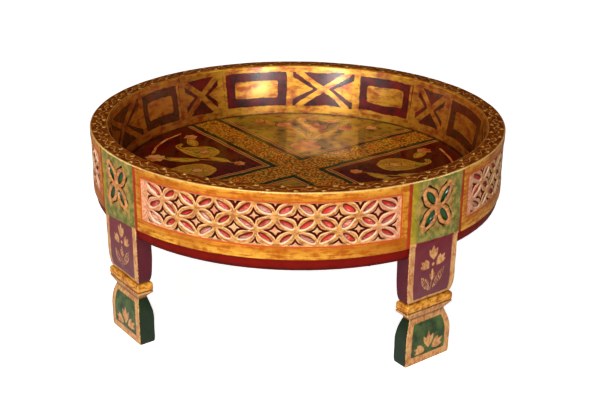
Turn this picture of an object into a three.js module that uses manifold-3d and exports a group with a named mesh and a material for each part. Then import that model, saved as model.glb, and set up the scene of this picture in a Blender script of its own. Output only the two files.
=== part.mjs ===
// A round low table with a deep tray top: four curved rim segments are tongued into the blocks
// of four carved legs, a plank board closes the tray from below, and two battens hold the planks.
// Millimetres, +Z up. The origin is on the floor, under the middle of the tray. The legs stand on
// the diagonals, so the front of the table looks along -Y.
import * as THREE from "three";
import { mergeVertices } from "three/addons/utils/BufferGeometryUtils.js";
import Module from "manifold-3d";

const wasm = await Module();
wasm.setup();

// Overall sizes
const tableHeight = 250;
const tableRadius = 280;
const legCount = 4;

// Tray rim
const rimHeight = 84;
const rimTopWidth = 24;
const rimFootWidth = 37;
const rimArris = 2;

// Tray board
const boardThickness = 17;
const boardRebate = 6.5;
const boardInset = 3;
const boardRound = 7;
const plankCount = 4;

// Legs: each size across the leg, seen from the front, and through it, seen from the side
const legWidth = 80;
const legThickness = 22;
const legInset = 3;
const ankleWidth = 66;
const ankleThickness = 14;
const collarWidth = 76;
const collarThickness = 23;
const neckWidth = 59;
const neckThickness = 14;
const footWidth = 75;
const footThickness = 23;
const footBaseWidth = 72;
const footBaseThickness = 22;

// Heights on the leg, each counted from the one before it
const footRoundHeight = 8;
const footWallHeight = 24;
const footShoulderHeight = 31;
const neckHeight = 2;
const collarUnderHeight = 7;
const collarBeadHeight = 10;
const collarRoofHeight = 5;
const ankleCurveHeight = 32;

// Tongues on the ends of the rim segments
const tongueLength = 12;
const tongueThickness = 10;
const tongueHeight = 48;

// Battens under the board
const battenCount = 2;
const battenWidth = 40;
const battenThickness = 20;
const battenSpacing = 200;
const battenEndInset = 3;
const battenChamfer = 4;

// Nails
const nailRadius = 1.8;
const nailHeadRadius = 4.5;
const nailHeadHeight = 2;
const nailPointLength = 6;
const rimNailLength = 50;
const legNailLength = 36;
const battenNailLength = 32;
const rimNailsPerSegment = 4;
const rimNailEndInset = 30;
const legNailsPerLeg = 2;
const legNailSpacing = 44;

// Fits, and how far a cutting shape runs past what it cuts
const fitGap = 0.3;
const overrun = 5;

// Steps of the round shapes
const ringSteps = 96;
const nailSides = 8;
const curveSteps = 5;

// Places that follow from the sizes above
const rimBase = tableHeight - rimHeight;
const boardBase = rimBase - boardThickness;
const boardRadius = tableRadius - boardInset;
const battenBase = boardBase - battenThickness;
const legFront = tableRadius - legInset;
const legCentre = legFront - legThickness / 2;
const legBack = legFront - legThickness;
const rimFootInner = tableRadius - rimFootWidth;
const legTurn = (2 * Math.PI) / legCount;
const firstLegAngle = legTurn / 2;
const segmentEnd = legWidth / 2 + fitGap;
const tongueCentre = tableRadius - rimTopWidth / 2 - rimArris;
const tongueBase = rimBase + (rimHeight - tongueHeight) / 2;
const rimNailPlace = tableRadius - rimFootWidth / 2;
const legNailPlace = (rimFootInner + legBack) / 2;
const battenOuterSide = (battenSpacing + battenWidth) / 2;
const battenLength = 2 * Math.sqrt((rimFootInner - battenEndInset) ** 2 - battenOuterSide ** 2);
const plankWidth = (2 * boardRadius) / plankCount;

const material = (color, roughness, metalness = 0) =>
  new THREE.MeshStandardMaterial({ color, roughness, metalness });
const carvedGold = material("#b9762a", 0.45);
const legPaint = material("#6f2f3d", 0.45);
const trayPaint = material("#5c1f12", 0.3);
const battenWood = material("#6b4a2c", 0.7);
const forgedIron = material("#3a3432", 0.55, 0.8);

// Shapes are drawn in a plane and turned upright by whole axes, so that heights stay exact
const upright = new THREE.Matrix4().set(1, 0, 0, 0, 0, 0, -1, 0, 0, 1, 0, 0, 0, 0, 0, 1);
const facingOut = new THREE.Matrix4().set(0, 0, 1, 0, 1, 0, 0, 0, 0, 1, 0, 0, 0, 0, 0, 1);

function solid(geometry) {
  const bare = geometry.clone();
  bare.deleteAttribute("normal");
  bare.deleteAttribute("uv");
  const merged = mergeVertices(bare);
  return new wasm.Manifold(
    new wasm.Mesh({
      numProp: 3,
      vertProperties: new Float32Array(merged.attributes.position.array),
      triVerts: new Uint32Array(merged.index.array),
    }),
  );
}

function geometryOf(body) {
  const mesh = body.getMesh();
  const geometry = new THREE.BufferGeometry();
  geometry.setAttribute("position", new THREE.BufferAttribute(mesh.vertProperties, 3));
  geometry.setIndex(new THREE.BufferAttribute(mesh.triVerts, 1));
  geometry.computeVertexNormals();
  return geometry;
}

// A box from its lowest to its highest corner
function block(low, high) {
  const size = high.map((value, i) => value - low[i]);
  const middle = high.map((value, i) => (value + low[i]) / 2);
  return solid(new THREE.BoxGeometry(...size).translate(...middle));
}

// A profile of [radius, height] points turned about the Z axis
function turned(points, steps) {
  const profile = points.map(([radius, height]) => new THREE.Vector2(radius, height));
  return solid(new THREE.LatheGeometry(profile, steps).applyMatrix4(upright));
}

// Cuts one body by each of the others in turn
const cutAll = (body, cutters) => cutters.reduce((left, cutter) => left.subtract(cutter), body);

const turnedAbout = (geometry, angle) => geometry.clone().rotateZ(angle);

// Places of evenly spaced things, centred on zero
const spread = (count, spacing) =>
  Array.from({ length: count }, (_, i) => (i - (count - 1) / 2) * spacing);

// The nail stands head down, with the underside of its head at height zero
function nailGeometry(length) {
  const headProfile = new THREE.Path()
    .moveTo(0, -nailHeadHeight)
    .quadraticCurveTo(nailHeadRadius, -nailHeadHeight, nailHeadRadius, 0);
  const profile = [
    ...headProfile.getPoints(curveSteps - 2),
    new THREE.Vector2(nailRadius, 0),
    new THREE.Vector2(nailRadius, length - nailPointLength),
    new THREE.Vector2(0, length),
  ];
  return new THREE.LatheGeometry(profile, nailSides).applyMatrix4(upright);
}

// The hole that such a nail leaves, from below its head to just past its point
function nailHole(length, x, y, base) {
  const radius = nailRadius + fitGap;
  const hole = new THREE.CylinderGeometry(radius, radius, length + overrun + fitGap, nailSides);
  const middle = base + (length + fitGap - overrun) / 2;
  return solid(hole.applyMatrix4(upright).translate(x, y, middle));
}

// Places of the nails, as [x, y], in the frame of a segment or a leg that points along +X
const lastRimNailAngle =
  legTurn / 2 - Math.asin(segmentEnd / rimNailPlace) - rimNailEndInset / rimNailPlace;
const rimNailTurn = (2 * lastRimNailAngle) / (rimNailsPerSegment - 1);
const rimNailPlaces = spread(rimNailsPerSegment, rimNailTurn).map((angle) => [
  rimNailPlace * Math.cos(angle),
  rimNailPlace * Math.sin(angle),
]);
const legNailPlaces = spread(legNailsPerLeg, legNailSpacing).map((y) => [legNailPlace, y]);

// The whole rim ring, before the legs part it
const rimRing = turned(
  [
    [rimFootInner, rimBase],
    [tableRadius, rimBase],
    [tableRadius, tableHeight - rimArris],
    [tableRadius - rimArris, tableHeight],
    [tableRadius - rimTopWidth + rimArris, tableHeight],
    [tableRadius - rimTopWidth, tableHeight - rimArris],
    [rimFootInner, rimBase],
  ],
  ringSteps,
);

// The slot for a tongue, or the tongue itself where gap is zero, on one side of a leg
function tongue(side, gap) {
  const reach = [segmentEnd - tongueLength - gap, segmentEnd + overrun].map((y) => side * y);
  return block(
    [tongueCentre - tongueThickness / 2 - gap, Math.min(...reach), tongueBase - gap],
    [tongueCentre + tongueThickness / 2 + gap, Math.max(...reach), tongueBase + tongueHeight + gap],
  );
}

// Half of the leg's outline, from the floor up to the rim; a size here is across or through
function legOutline(size, top) {
  const levels = [
    footRoundHeight,
    footWallHeight,
    footShoulderHeight,
    neckHeight,
    collarUnderHeight,
    collarBeadHeight,
    collarRoofHeight,
    ankleCurveHeight,
  ];
  let height = 0;
  const [round, wall, shoulder, neck, under, bead, roof, curve] = levels.map((step) => (height += step));
  const half = new THREE.Path()
    .moveTo(size.base / 2, 0)
    .quadraticCurveTo(size.foot / 2, 0, size.foot / 2, round)
    .lineTo(size.foot / 2, wall)
    .quadraticCurveTo(size.foot / 2, (wall + shoulder) / 2, size.neck / 2, shoulder)
    .lineTo(size.neck / 2, neck)
    .lineTo(size.collar / 2, under)
    .lineTo(size.collar / 2, bead)
    .quadraticCurveTo(size.collar / 2, roof, size.ankle / 2, roof)
    .quadraticCurveTo(size.top / 2, roof, size.top / 2, curve)
    .lineTo(size.top / 2, top);
  const right = half.getPoints(curveSteps);
  const left = right.map((point) => new THREE.Vector2(-point.x, point.y)).reverse();
  return new THREE.Shape([...right, ...left]);
}

// The leg below the rim is cut twice from one plank, once from the front and once from the side
function lowerLeg() {
  const across = legOutline(
    {
      top: legWidth,
      ankle: ankleWidth,
      collar: collarWidth,
      neck: neckWidth,
      foot: footWidth,
      base: footBaseWidth,
    },
    rimBase,
  );
  const through = legOutline(
    {
      top: legThickness,
      ankle: ankleThickness,
      collar: collarThickness,
      neck: neckThickness,
      foot: footThickness,
      base: footBaseThickness,
    },
    rimBase,
  );
  const acrossDepth = collarThickness + 2 * overrun;
  const throughDepth = legWidth + 2 * overrun;
  const fromFront = new THREE.ExtrudeGeometry(across, { depth: acrossDepth, bevelEnabled: false })
    .applyMatrix4(facingOut)
    .translate(legCentre - acrossDepth / 2, 0, 0);
  const fromSide = new THREE.ExtrudeGeometry(through, { depth: throughDepth, bevelEnabled: false })
    .applyMatrix4(upright)
    .translate(legCentre, throughDepth / 2, 0);
  return solid(fromFront).intersect(solid(fromSide));
}

// The leg points along +X: its block is a piece of the ring, as wide as the leg, with a mortise
// in each side for the tongues of its neighbours
function legGeometry() {
  const blockSpace = block(
    [0, -legWidth / 2, rimBase - overrun],
    [tableRadius + overrun, legWidth / 2, tableHeight + overrun],
  );
  const mortises = [-1, 1].map((side) => tongue(side, fitGap));
  const holes = legNailPlaces.map(([x, y]) => nailHole(legNailLength, x, y, boardBase));
  const legBlock = cutAll(rimRing.intersect(blockSpace), [...mortises, ...holes]);
  return geometryOf(legBlock.add(lowerLeg()));
}

// The segment is centred on +X, between two legs. Its ends are parallel to the sides of the
// leg blocks that it meets
function segmentGeometry() {
  const span = tableRadius + overrun;
  const legSpace = new THREE.BoxGeometry(2 * span, 2 * segmentEnd, 2 * rimHeight).translate(
    span,
    0,
    tableHeight - rimHeight / 2,
  );
  const wedge = new THREE.Shape([
    new THREE.Vector2(0, 0),
    new THREE.Vector2(2 * span * Math.cos(legTurn / 2), -2 * span * Math.sin(legTurn / 2)),
    new THREE.Vector2(2 * span * Math.cos(legTurn / 2), 2 * span * Math.sin(legTurn / 2)),
  ]);
  const sector = new THREE.ExtrudeGeometry(wedge, { depth: tableHeight + overrun, bevelEnabled: false });
  const arc = [-1, 1].reduce(
    (left, side) => left.subtract(solid(turnedAbout(legSpace, (side * legTurn) / 2))),
    rimRing.intersect(solid(sector)),
  );
  const tongues = [-1, 1].map((side) =>
    solid(turnedAbout(geometryOf(tongue(-side, 0)), (side * legTurn) / 2)),
  );
  const holes = rimNailPlaces.map(([x, y]) => nailHole(rimNailLength, x, y, boardBase));
  return geometryOf(cutAll(arc.add(tongues[0]).add(tongues[1]), holes));
}

const turns = Array.from({ length: legCount }, (_, i) => i * legTurn);
const battenPlaces = spread(battenCount, battenSpacing);
const plankPlaces = spread(plankCount, plankWidth);

// Each plank is nailed in the middle of the stretch of it that a batten covers
const battenNailPlaces = plankPlaces.map((y) => {
  const low = Math.max(y - plankWidth / 2, -battenLength / 2);
  const high = Math.min(y + plankWidth / 2, battenLength / 2);
  return (low + high) / 2;
});

// The round board with its notches and nail holes, before it is parted into planks. It is rebated
// round its edge, so that its middle stands up inside the rim
function wholeBoard() {
  const edge = new THREE.Path()
    .moveTo(0, boardBase)
    .lineTo(boardRadius - boardRound, boardBase)
    .quadraticCurveTo(boardRadius, boardBase, boardRadius, boardBase + boardRound)
    .lineTo(boardRadius, rimBase)
    .lineTo(rimFootInner - fitGap, rimBase)
    .lineTo(rimFootInner - fitGap, rimBase + boardRebate)
    .lineTo(0, rimBase + boardRebate);
  const disc = turned(
    edge.getPoints(curveSteps).map((point) => [point.x, point.y]),
    ringSteps,
  );
  const notch = new THREE.BoxGeometry(legThickness * 2, 2 * segmentEnd, tableHeight);
  notch.translate(legBack - fitGap + legThickness, 0, rimBase);
  const notches = turns.map((turn) => solid(turnedAbout(notch, firstLegAngle + turn)));
  const holeAt = (length, [x, y], turn) => {
    const place = new THREE.Vector2(x, y).rotateAround(new THREE.Vector2(), turn);
    return nailHole(length, place.x, place.y, boardBase);
  };
  const holes = turns.flatMap((turn) => [
    ...rimNailPlaces.map((place) => holeAt(rimNailLength, place, turn)),
    ...legNailPlaces.map((place) => holeAt(legNailLength, place, firstLegAngle + turn)),
  ]);
  const battenHoles = battenPlaces.flatMap((x) =>
    battenNailPlaces.map((y) => nailHole(battenNailLength, x, y, battenBase)),
  );
  return cutAll(disc, [...notches, ...holes, ...battenHoles]);
}

// One plank of the board, at its place across the table
function plankGeometry(board, y) {
  const half = plankWidth / 2 - fitGap / 2;
  const space = block(
    [-tableRadius, y - half, boardBase - overrun],
    [tableRadius, y + half, rimBase + boardRebate + overrun],
  );
  return geometryOf(board.intersect(space));
}

// A batten runs across the planks, with chamfered lower edges and ends
function battenGeometry() {
  const along = new THREE.Shape([
    new THREE.Vector2(-battenLength / 2, 0),
    new THREE.Vector2(-battenLength / 2, -battenThickness + battenChamfer),
    new THREE.Vector2(-battenLength / 2 + battenChamfer, -battenThickness),
    new THREE.Vector2(battenLength / 2 - battenChamfer, -battenThickness),
    new THREE.Vector2(battenLength / 2, -battenThickness + battenChamfer),
    new THREE.Vector2(battenLength / 2, 0),
  ]);
  const blank = new THREE.ExtrudeGeometry(along, { depth: battenWidth, bevelEnabled: false })
    .applyMatrix4(facingOut)
    .translate(-battenWidth / 2, 0, boardBase);
  const holes = battenNailPlaces.map((y) => nailHole(battenNailLength, 0, y, battenBase));
  return geometryOf(cutAll(solid(blank), holes));
}

const group = new THREE.Group();
const sideNames = ["right", "back", "left", "front"];
const cornerNames = ["back_right", "back_left", "front_left", "front_right"];

function addPiece(parent, name, geometry, finish, x = 0, y = 0, z = 0) {
  const mesh = new THREE.Mesh(geometry, finish);
  mesh.name = name;
  mesh.position.set(x, y, z);
  parent.add(mesh);
}

function addFrame(angle) {
  const frame = new THREE.Group();
  frame.rotation.z = angle;
  group.add(frame);
  return frame;
}

const segment = segmentGeometry();
const leg = legGeometry();
const rimNail = nailGeometry(rimNailLength);
const legNail = nailGeometry(legNailLength);
turns.forEach((turn, i) => {
  const side = addFrame(turn);
  addPiece(side, `rim_segment_${sideNames[i]}`, segment, carvedGold);
  rimNailPlaces.forEach(([x, y], n) =>
    addPiece(side, `rim_nail_${sideNames[i]}_${n + 1}`, rimNail, forgedIron, x, y, boardBase),
  );
  const corner = addFrame(firstLegAngle + turn);
  addPiece(corner, `leg_${cornerNames[i]}`, leg, legPaint);
  legNailPlaces.forEach(([x, y], n) =>
    addPiece(corner, `leg_nail_${cornerNames[i]}_${n + 1}`, legNail, forgedIron, x, y, boardBase),
  );
});

const board = wholeBoard();
plankPlaces.forEach((y, i) =>
  addPiece(group, `tray_plank_${i + 1}`, plankGeometry(board, y), trayPaint),
);

const batten = battenGeometry();
const battenNail = nailGeometry(battenNailLength);
const battenNames = ["left", "right"];
battenPlaces.forEach((x, i) => {
  addPiece(group, `batten_${battenNames[i]}`, batten, battenWood, x);
  battenNailPlaces.forEach((y, n) =>
    addPiece(group, `batten_nail_${battenNames[i]}_${n + 1}`, battenNail, forgedIron, x, y, battenBase),
  );
});

export default group;
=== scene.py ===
import math

import bpy
import numpy as np
from mathutils import Matrix, Vector


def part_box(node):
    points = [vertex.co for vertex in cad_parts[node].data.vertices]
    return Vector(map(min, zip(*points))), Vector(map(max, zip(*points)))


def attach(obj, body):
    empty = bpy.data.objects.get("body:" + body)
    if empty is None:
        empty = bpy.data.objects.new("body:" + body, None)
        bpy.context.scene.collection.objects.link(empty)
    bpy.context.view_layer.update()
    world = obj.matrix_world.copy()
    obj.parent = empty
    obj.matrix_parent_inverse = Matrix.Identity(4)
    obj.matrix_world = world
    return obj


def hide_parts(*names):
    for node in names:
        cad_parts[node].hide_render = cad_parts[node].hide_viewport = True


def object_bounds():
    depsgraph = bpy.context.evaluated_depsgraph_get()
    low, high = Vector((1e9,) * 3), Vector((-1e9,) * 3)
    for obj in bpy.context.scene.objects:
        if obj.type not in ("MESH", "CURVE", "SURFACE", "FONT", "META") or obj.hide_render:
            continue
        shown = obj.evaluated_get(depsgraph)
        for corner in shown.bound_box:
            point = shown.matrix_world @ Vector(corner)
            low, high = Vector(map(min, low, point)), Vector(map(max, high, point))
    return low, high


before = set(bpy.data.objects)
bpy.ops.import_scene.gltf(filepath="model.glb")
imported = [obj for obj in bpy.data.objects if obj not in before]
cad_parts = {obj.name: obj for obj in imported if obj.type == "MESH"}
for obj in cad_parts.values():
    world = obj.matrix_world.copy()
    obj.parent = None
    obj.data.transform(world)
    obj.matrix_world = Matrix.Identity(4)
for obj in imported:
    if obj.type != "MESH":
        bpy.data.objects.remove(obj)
cad_low, cad_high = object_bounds()

# Camera
# The picture's camera stands a little right of the table's front and looks down into the tray.
# Its place is worked out from the round of the rim, the tray's floor and the two front legs.
lens_mm = 63.6
sensor_mm = 36.0
camera_distance = 1.4532
camera_height_angle = 0.3159
camera_down_angle = 0.3962
camera_side_angle = math.radians(8.15)
camera_yaw = -0.003
camera_roll = 0.0118
nearest_seen = 0.01
scene = bpy.context.scene


def placed(name, data):
    """A new object in the scene, made from the data of a camera, a light or a mesh."""
    thing = bpy.data.objects.new(name, data)
    scene.collection.objects.link(thing)
    return thing


aim = Matrix.Rotation(camera_side_angle + camera_yaw, 3, "Z")
forward = aim @ Vector((0, math.cos(camera_down_angle), -math.sin(camera_down_angle)))
level_right = forward.cross(Vector((0, 0, 1))).normalized()
level_up = level_right.cross(forward)
view_right = level_right * math.cos(camera_roll) + level_up * math.sin(camera_roll)
view_up = level_up * math.cos(camera_roll) - level_right * math.sin(camera_roll)
stand = Matrix.Rotation(camera_side_angle, 3, "Z") @ Vector((0, -math.cos(camera_height_angle), 0))
place = stand * camera_distance
place.z = cad_high.z + camera_distance * math.sin(camera_height_angle)

camera_data = bpy.data.cameras.new("picture_camera")
camera_data.lens = lens_mm
camera_data.sensor_width = sensor_mm
camera_data.sensor_fit = "HORIZONTAL"
camera_data.clip_start = nearest_seen
camera = placed("picture_camera", camera_data)
turn = Matrix((view_right, view_up, -forward)).transposed()
camera.matrix_world = Matrix.Translation(place) @ turn.to_4x4()
scene.camera = camera

# Studio
# A pale floor that glows a little, and beyond it a surround that looks as pale but lights dimly. A
# large soft light stands high in front and a wide one low, two small ones show as sheen in the
# varnish, and weak ones stand at the left and behind.
lit_height_share = 0.6
surround_glow = 0.02
floor_half = 6.0
floor_glow = 0.9
white = (1, 1, 1, 1)


def painted(red, green, blue):
    """A colour as it looks on the piece, 0 to 255, turned into the shader's own numbers."""
    shares = [shade / 255 for shade in (red, green, blue)]
    linear = [s / 12.92 if s <= 0.04 else ((s + 0.055) / 1.055) ** 2.4 for s in shares]
    return (*linear, 1.0)


def feed(tree, node, inputs):
    """Gives a shader node its inputs: each is a plain value or the output of another node."""
    for key, value in inputs.items():
        if isinstance(value, bpy.types.NodeSocket):
            tree.links.new(value, node.inputs[key])
        else:
            node.inputs[key].default_value = value


def add(tree, kind, inputs=None, **settings):
    """Adds a shader node with its settings and its inputs."""
    made = tree.nodes.new("ShaderNode" + kind)
    for name, value in settings.items():
        setattr(made, name, value)
    feed(tree, made, inputs or {})
    return made


def sums(tree, operation, first, second=0.0, third=0.0):
    """One step of arithmetic on values that change over the surface."""
    return add(tree, "Math", {0: first, 1: second, 2: third}, operation=operation).outputs[0]


def to_camera(tree, operation, amount):
    """1 for what the camera sees itself and 0 for the rest of the light, after a sum with amount."""
    return sums(tree, operation, add(tree, "LightPath").outputs["Is Camera Ray"], amount)


def soft_light(name, energy, width, height, where):
    """A rectangular lamp that shines on the table. Its energy is in watts, the rest in metres."""
    data = bpy.data.lights.new(name, "AREA")
    data.shape = "RECTANGLE"
    data.energy = energy
    data.size = width
    data.size_y = height
    lamp = placed(name, data)
    way = Vector((0, 0, cad_high.z * lit_height_share)) - Vector(where)
    lamp.rotation_euler = way.to_track_quat("-Z", "Y").to_euler()
    lamp.location = where


soft_light("high_light", 31, 1.4, 1.0, (-0.3, -1.5, 2.1))
soft_light("front_light", 11, 2.0, 0.5, (0.1, -2.6, 0.75))
soft_light("low_light_left", 12, 0.35, 0.25, (-0.73, -2.13, 0.52))
soft_light("low_light_right", 11, 0.45, 0.25, (1.24, -1.88, 0.52))
soft_light("left_light", 4, 0.9, 0.5, (-1.75, -1.7, 0.55))
soft_light("back_light", 2, 1.4, 1.0, (0.3, 1.6, 2.4))

world = bpy.data.worlds.new("pale_surround")
world.use_nodes = True
scene.world = world
scene.view_settings.view_transform = "Standard"
brightness = to_camera(world.node_tree, "MAXIMUM", surround_glow)
feed(world.node_tree, world.node_tree.nodes["Background"], {"Color": white, "Strength": brightness})

floor_paper = bpy.data.materials.new("pale_paper")
floor_paper.use_nodes = True
paper = {
    "Base Color": painted(250, 250, 250),
    "Roughness": 0.9,
    "Specular IOR Level": 0.1,
    "Emission Color": white,
    "Emission Strength": to_camera(floor_paper.node_tree, "MULTIPLY", floor_glow),
}
feed(floor_paper.node_tree, floor_paper.node_tree.nodes["Principled BSDF"], paper)
floor_mesh = bpy.data.meshes.new("studio_floor")
corner_shares = [(-1, -1), (1, -1), (1, 1), (-1, 1)]
floor_corners = [(x * floor_half, y * floor_half, 0) for x, y in corner_shares]
floor_mesh.from_pydata(floor_corners, [], [(0, 1, 2, 3)])
floor_mesh.materials.append(floor_paper)
placed("studio_floor", floor_mesh)

# Rim segments
# Four curved pieces sawn from thick boards and tongued into the legs. The outside is carved with
# a lattice of crossing rings, painted pink, rubbed with cream and gold, given painted highlights
# and painted shade on its relief and framed in gold; the top is gouged with a running vine, and
# the inside is painted with crosses and oblongs, with painted shade towards the table's sides.
MM = 0.001
rim_low, rim_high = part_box("rim_segment_right")
rim_radius = rim_high.x / MM
rim_base = rim_low.z / MM
rim_height = rim_high.z / MM - rim_base
floor_skin = 1.2
floor_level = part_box("tray_plank_1")[1].z / MM - rim_base + floor_skin
wall_height = rim_height - floor_level
rim_top_width = 24.0
rim_foot_width = 37.0
rim_arris = 2.0
leg_width = 80.0
joint_gap = 0.1
sides = {"right": 0, "back": 90, "left": 180, "front": -90}

# How far apart the points of the carved and painted faces lie, how many points a rounded edge
# has, how far apart the grain of two pieces starts, the least angle of a sharp edge, and a
# distance beyond any on the table
carving_step = 0.6
painting_step = 1.6
round_points = 5
grain_apart = 1000
sharp_degrees = 58
far_off = 1e3

# The lattice panel and its frame, across the outside of a segment
frame_foot = 17.0
frame_top = 13.0
frame_side = 15.0
frame_line = 2.0
end_line = 5.0
left_margin = 9.5
right_margin = 3.5
lattice_rows = 3
lattice_columns = 13
lattice_sway_along = 1.2
lattice_sway_up = 0.5
strap_unevenness = 0.4
depth_unevenness_share = 0.15
strap_half = 2.2
strap_crown = 0.6
star_inset = 1.4
star_point = 1.6
star_cut = 1.1
strap_edge_middle = 2.1
petal_length = 20.5
petal_end_round = 2.5
scoop_depth = 2.5
groove_depth = 2.2
star_heart = 1.3
panel_drop = 0.7
panel_line_depth = 0.35
end_line_depth = 0.3
# Where the painted shade on the gold foot band starts and is full, towards a segment's right end
foot_shade_from = 20.0
foot_shade_to = 190.0

# How much paint lies on the wood, and how uneven it and the painted figures are
paint_depth = 0.16
paint_unevenness = 0.1
figure_unevenness = 0.8

# How many steps of the surface the dirt's hollows reach, and how far the rubbed edges do
hollow_reach = 3
rub_width = 2.2

# The vine on the top of the rim; each leaf has its foot, length, width, lean and widest place
vine_waves = 54
vine_swing = 3.4
stem_depth = 0.8
stem_width = 0.7
stem_gold_half = 0.55
vine_leaf_depth = 1.3
vine_leaves = [
    ((-6.5, 3.6), 8.6, 3.0, 1.12, 0.62),
    ((-4.6, 5.2), 5.0, 1.9, 0.35, 0.6),
    ((6.4, -0.5), 6.0, 1.7, -0.75, 0.6),
]

# The painted panels on the inside of the rim
border_top_share = 0.14
border_foot_share = 0.165
oblong_side_share = 0.145
oblong_top_share = 0.25
oblong_round = 3.5
bar_width = 8.5
cross_arm = 8.4
cross_outline = 4.4
cross_spread_share = 0.8
wedge_slant_share = 0.78
cross_margin = 7.0
wide_cross_margin = 1.5

# Where the straps grow paler, from a segment's end, and where the painted shade on the inside
# starts and is full, from the table's middle to its sides
pale_end = 20.0
pale_end_stop = 75.0
side_shade_start = 120.0
side_shade_full = 215.0

amber_gold = painted(190, 94, 14)
bright_gold = painted(244, 176, 66)
warm_gold = painted(208, 120, 30)
cream_gold = painted(250, 206, 128)
rust_red = painted(156, 62, 16)
line_red = painted(194, 52, 22)
petal_red = painted(232, 44, 26)
petal_pink = painted(244, 132, 104)
groove_red = painted(92, 8, 4)
old_maroon = painted(126, 4, 4)
dark_maroon = painted(62, 0, 0)
settled_brown = painted(38, 14, 6)


def ripple(x, y, size, seed):
    """Smooth unevenness of hand work, mostly within -1 and 1, with bumps about size apart."""
    rng = np.random.default_rng(seed)
    total = 0.0
    waves = 7
    for _ in range(waves):
        way = rng.uniform(0, 2 * math.pi)
        length = size * rng.uniform(0.75, 1.6)
        start = rng.uniform(0, 2 * math.pi)
        total = total + np.sin((x * math.cos(way) + y * math.sin(way)) * 2 * math.pi / length + start)
    return total / math.sqrt(waves)


def smooth(value, low, high):
    """0 below low, 1 above high, and an even curve between."""
    t = np.clip((value - low) / (high - low), 0, 1)
    return t * t * (3 - 2 * t)


def ridge(value, width):
    """1 where value is zero, falling away evenly to both sides."""
    return np.exp(-((value / width) ** 2))


def chance(first, second, seed):
    """An even random number from 0 to 1 for each pair of whole numbers."""
    scrambled = np.sin(first * 127.1 + second * 311.7 + seed * 74.7) * 43758.5453
    return scrambled - np.floor(scrambled)


def crossing_rings(x, y, cell_x, cell_y, length, spread=math.inf):
    """Distance to the nearest edge in a lattice of crossing rings: below zero in the petals,
    above zero in the four-pointed stars, and zero along the rings. Ring centres lie where the
    whole numbers of x / cell_x and y / cell_y add up to an odd number, no further from the middle
    than spread. The petals end bluntly, at the given length, so that the straps stay wide where
    they cross."""
    near_x = np.round(x / cell_x)
    near_y = np.round(y / cell_y)
    first = np.full(x.shape, far_off)
    second = np.full(x.shape, far_off)
    for step_x in (-1, 0, 1):
        for step_y in (-1, 0, 1):
            centre_x = near_x + step_x
            centre_y = near_y + step_y
            across = x / cell_x - centre_x
            up = y / cell_y - centre_y
            reach = np.hypot(across, up) + 1e-6
            slope = np.hypot(across / cell_x, up / cell_y) / reach + 1e-6
            is_ring = ((centre_x + centre_y) % 2 == 1) & (np.hypot(centre_x, centre_y) < spread)
            distance = np.where(is_ring, (reach - 1) / slope, far_off)
            second = np.minimum(second, np.maximum(first, distance))
            first = np.minimum(first, distance)
    across = x / cell_x - np.floor(x / cell_x) - 0.5
    up = y / cell_y - np.floor(y / cell_y) - 0.5
    even = (np.floor(x / cell_x) + np.floor(y / cell_y)) % 2 == 0
    along = np.abs(np.where(even, across + up, across - up)) * math.hypot(cell_x, cell_y) / 2
    past = along - length / 2
    soft = np.clip(1 - np.abs(second - past) / petal_end_round, 0, 1) ** 2 * petal_end_round / 4
    petal = np.minimum(np.maximum(second, past) + soft, 0)
    off_axis = np.minimum(0.5 - np.abs(across), 0.5 - np.abs(up)) * 2
    point = star_point * (1 - off_axis) ** 4 * smooth(second, 0, 1.5)
    return np.where(second < 0, petal, second + point)


def carved_rings(ring, strap, heart_depth):
    """Depth of the carving: rounded straps, scooped petals, and stars with a cut round them."""
    petal = -ring - strap
    star = ring - strap - star_inset
    scoop = scoop_depth * (0.45 * smooth(petal, 0, 0.8) + 0.55 * smooth(petal, 0, 3.4))
    cut = groove_depth * ridge(star - star_cut, star_cut)
    heart = heart_depth * smooth(star, star_cut, 2 * star_cut) * (1 - 0.9 * smooth(star, star_cut, 4.5))
    round_strap = strap_crown * np.clip(np.abs(ring) / strap, 0, 1) ** 3
    return np.where(petal > 0, scoop, np.where(star > 0, np.maximum(cut, heart), 0)) + round_strap


def oblong_distance(x, y, half_x, half_y):
    """Distance to the edge of an upright oblong about the middle, above zero inside it."""
    return np.minimum(half_x - np.abs(x), half_y - np.abs(y))


def line_distance(x, y, start, end):
    """Distance to a straight line between two points."""
    run_x, run_y = end[0] - start[0], end[1] - start[1]
    along = ((x - start[0]) * run_x + (y - start[1]) * run_y) / (run_x**2 + run_y**2)
    along = np.clip(along, 0, 1)
    return np.hypot(x - start[0] - along * run_x, y - start[1] - along * run_y)


def leaf_distance(x, y, foot, length, width, way, belly=0.5):
    """Distance to the edge of a leaf that grows from its foot, above zero inside it. way is the
    angle that it leans clockwise from upright, and belly where it is widest, as a share."""
    along = (x - foot[0]) * math.sin(way) + (y - foot[1]) * math.cos(way)
    across = (x - foot[0]) * math.cos(way) - (y - foot[1]) * math.sin(way)
    share = np.clip(along / length, 0, 1)
    half = width / 2 * np.sin(math.pi * share ** (math.log(0.5) / math.log(belly)))
    past = np.maximum(-along, along - length)
    return np.where(past > 0, -np.hypot(past, across), half - np.abs(across))


def gouged_vine(away, across):
    """Depth of the gouged vine on the rim's top, and how far inside its gold a point lies. away
    is the angle round the table; across is zero in the middle of the top."""
    length = 2 * math.pi / vine_waves * (rim_radius - rim_top_width / 2)
    phase = away * vine_waves / (2 * math.pi)
    stem = np.abs(across - vine_swing * np.sin(2 * math.pi * phase))
    leaves = np.full(phase.shape, -far_off)
    for side, shift in ((1, 0.75), (-1, 0.25)):
        number = np.round(phase - shift)
        size = 0.85 + 0.3 * chance(np.mod(number, vine_waves), side, 7)
        x = (phase - shift - number) * length / size
        for leaf in vine_leaves:
            leaves = np.maximum(leaves, leaf_distance(x, side * across, *leaf))
    depth = stem_depth * ridge(stem, stem_width) + vine_leaf_depth * smooth(leaves, -0.2, 1.2)
    return depth, np.maximum(leaves, stem_gold_half - stem)


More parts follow.
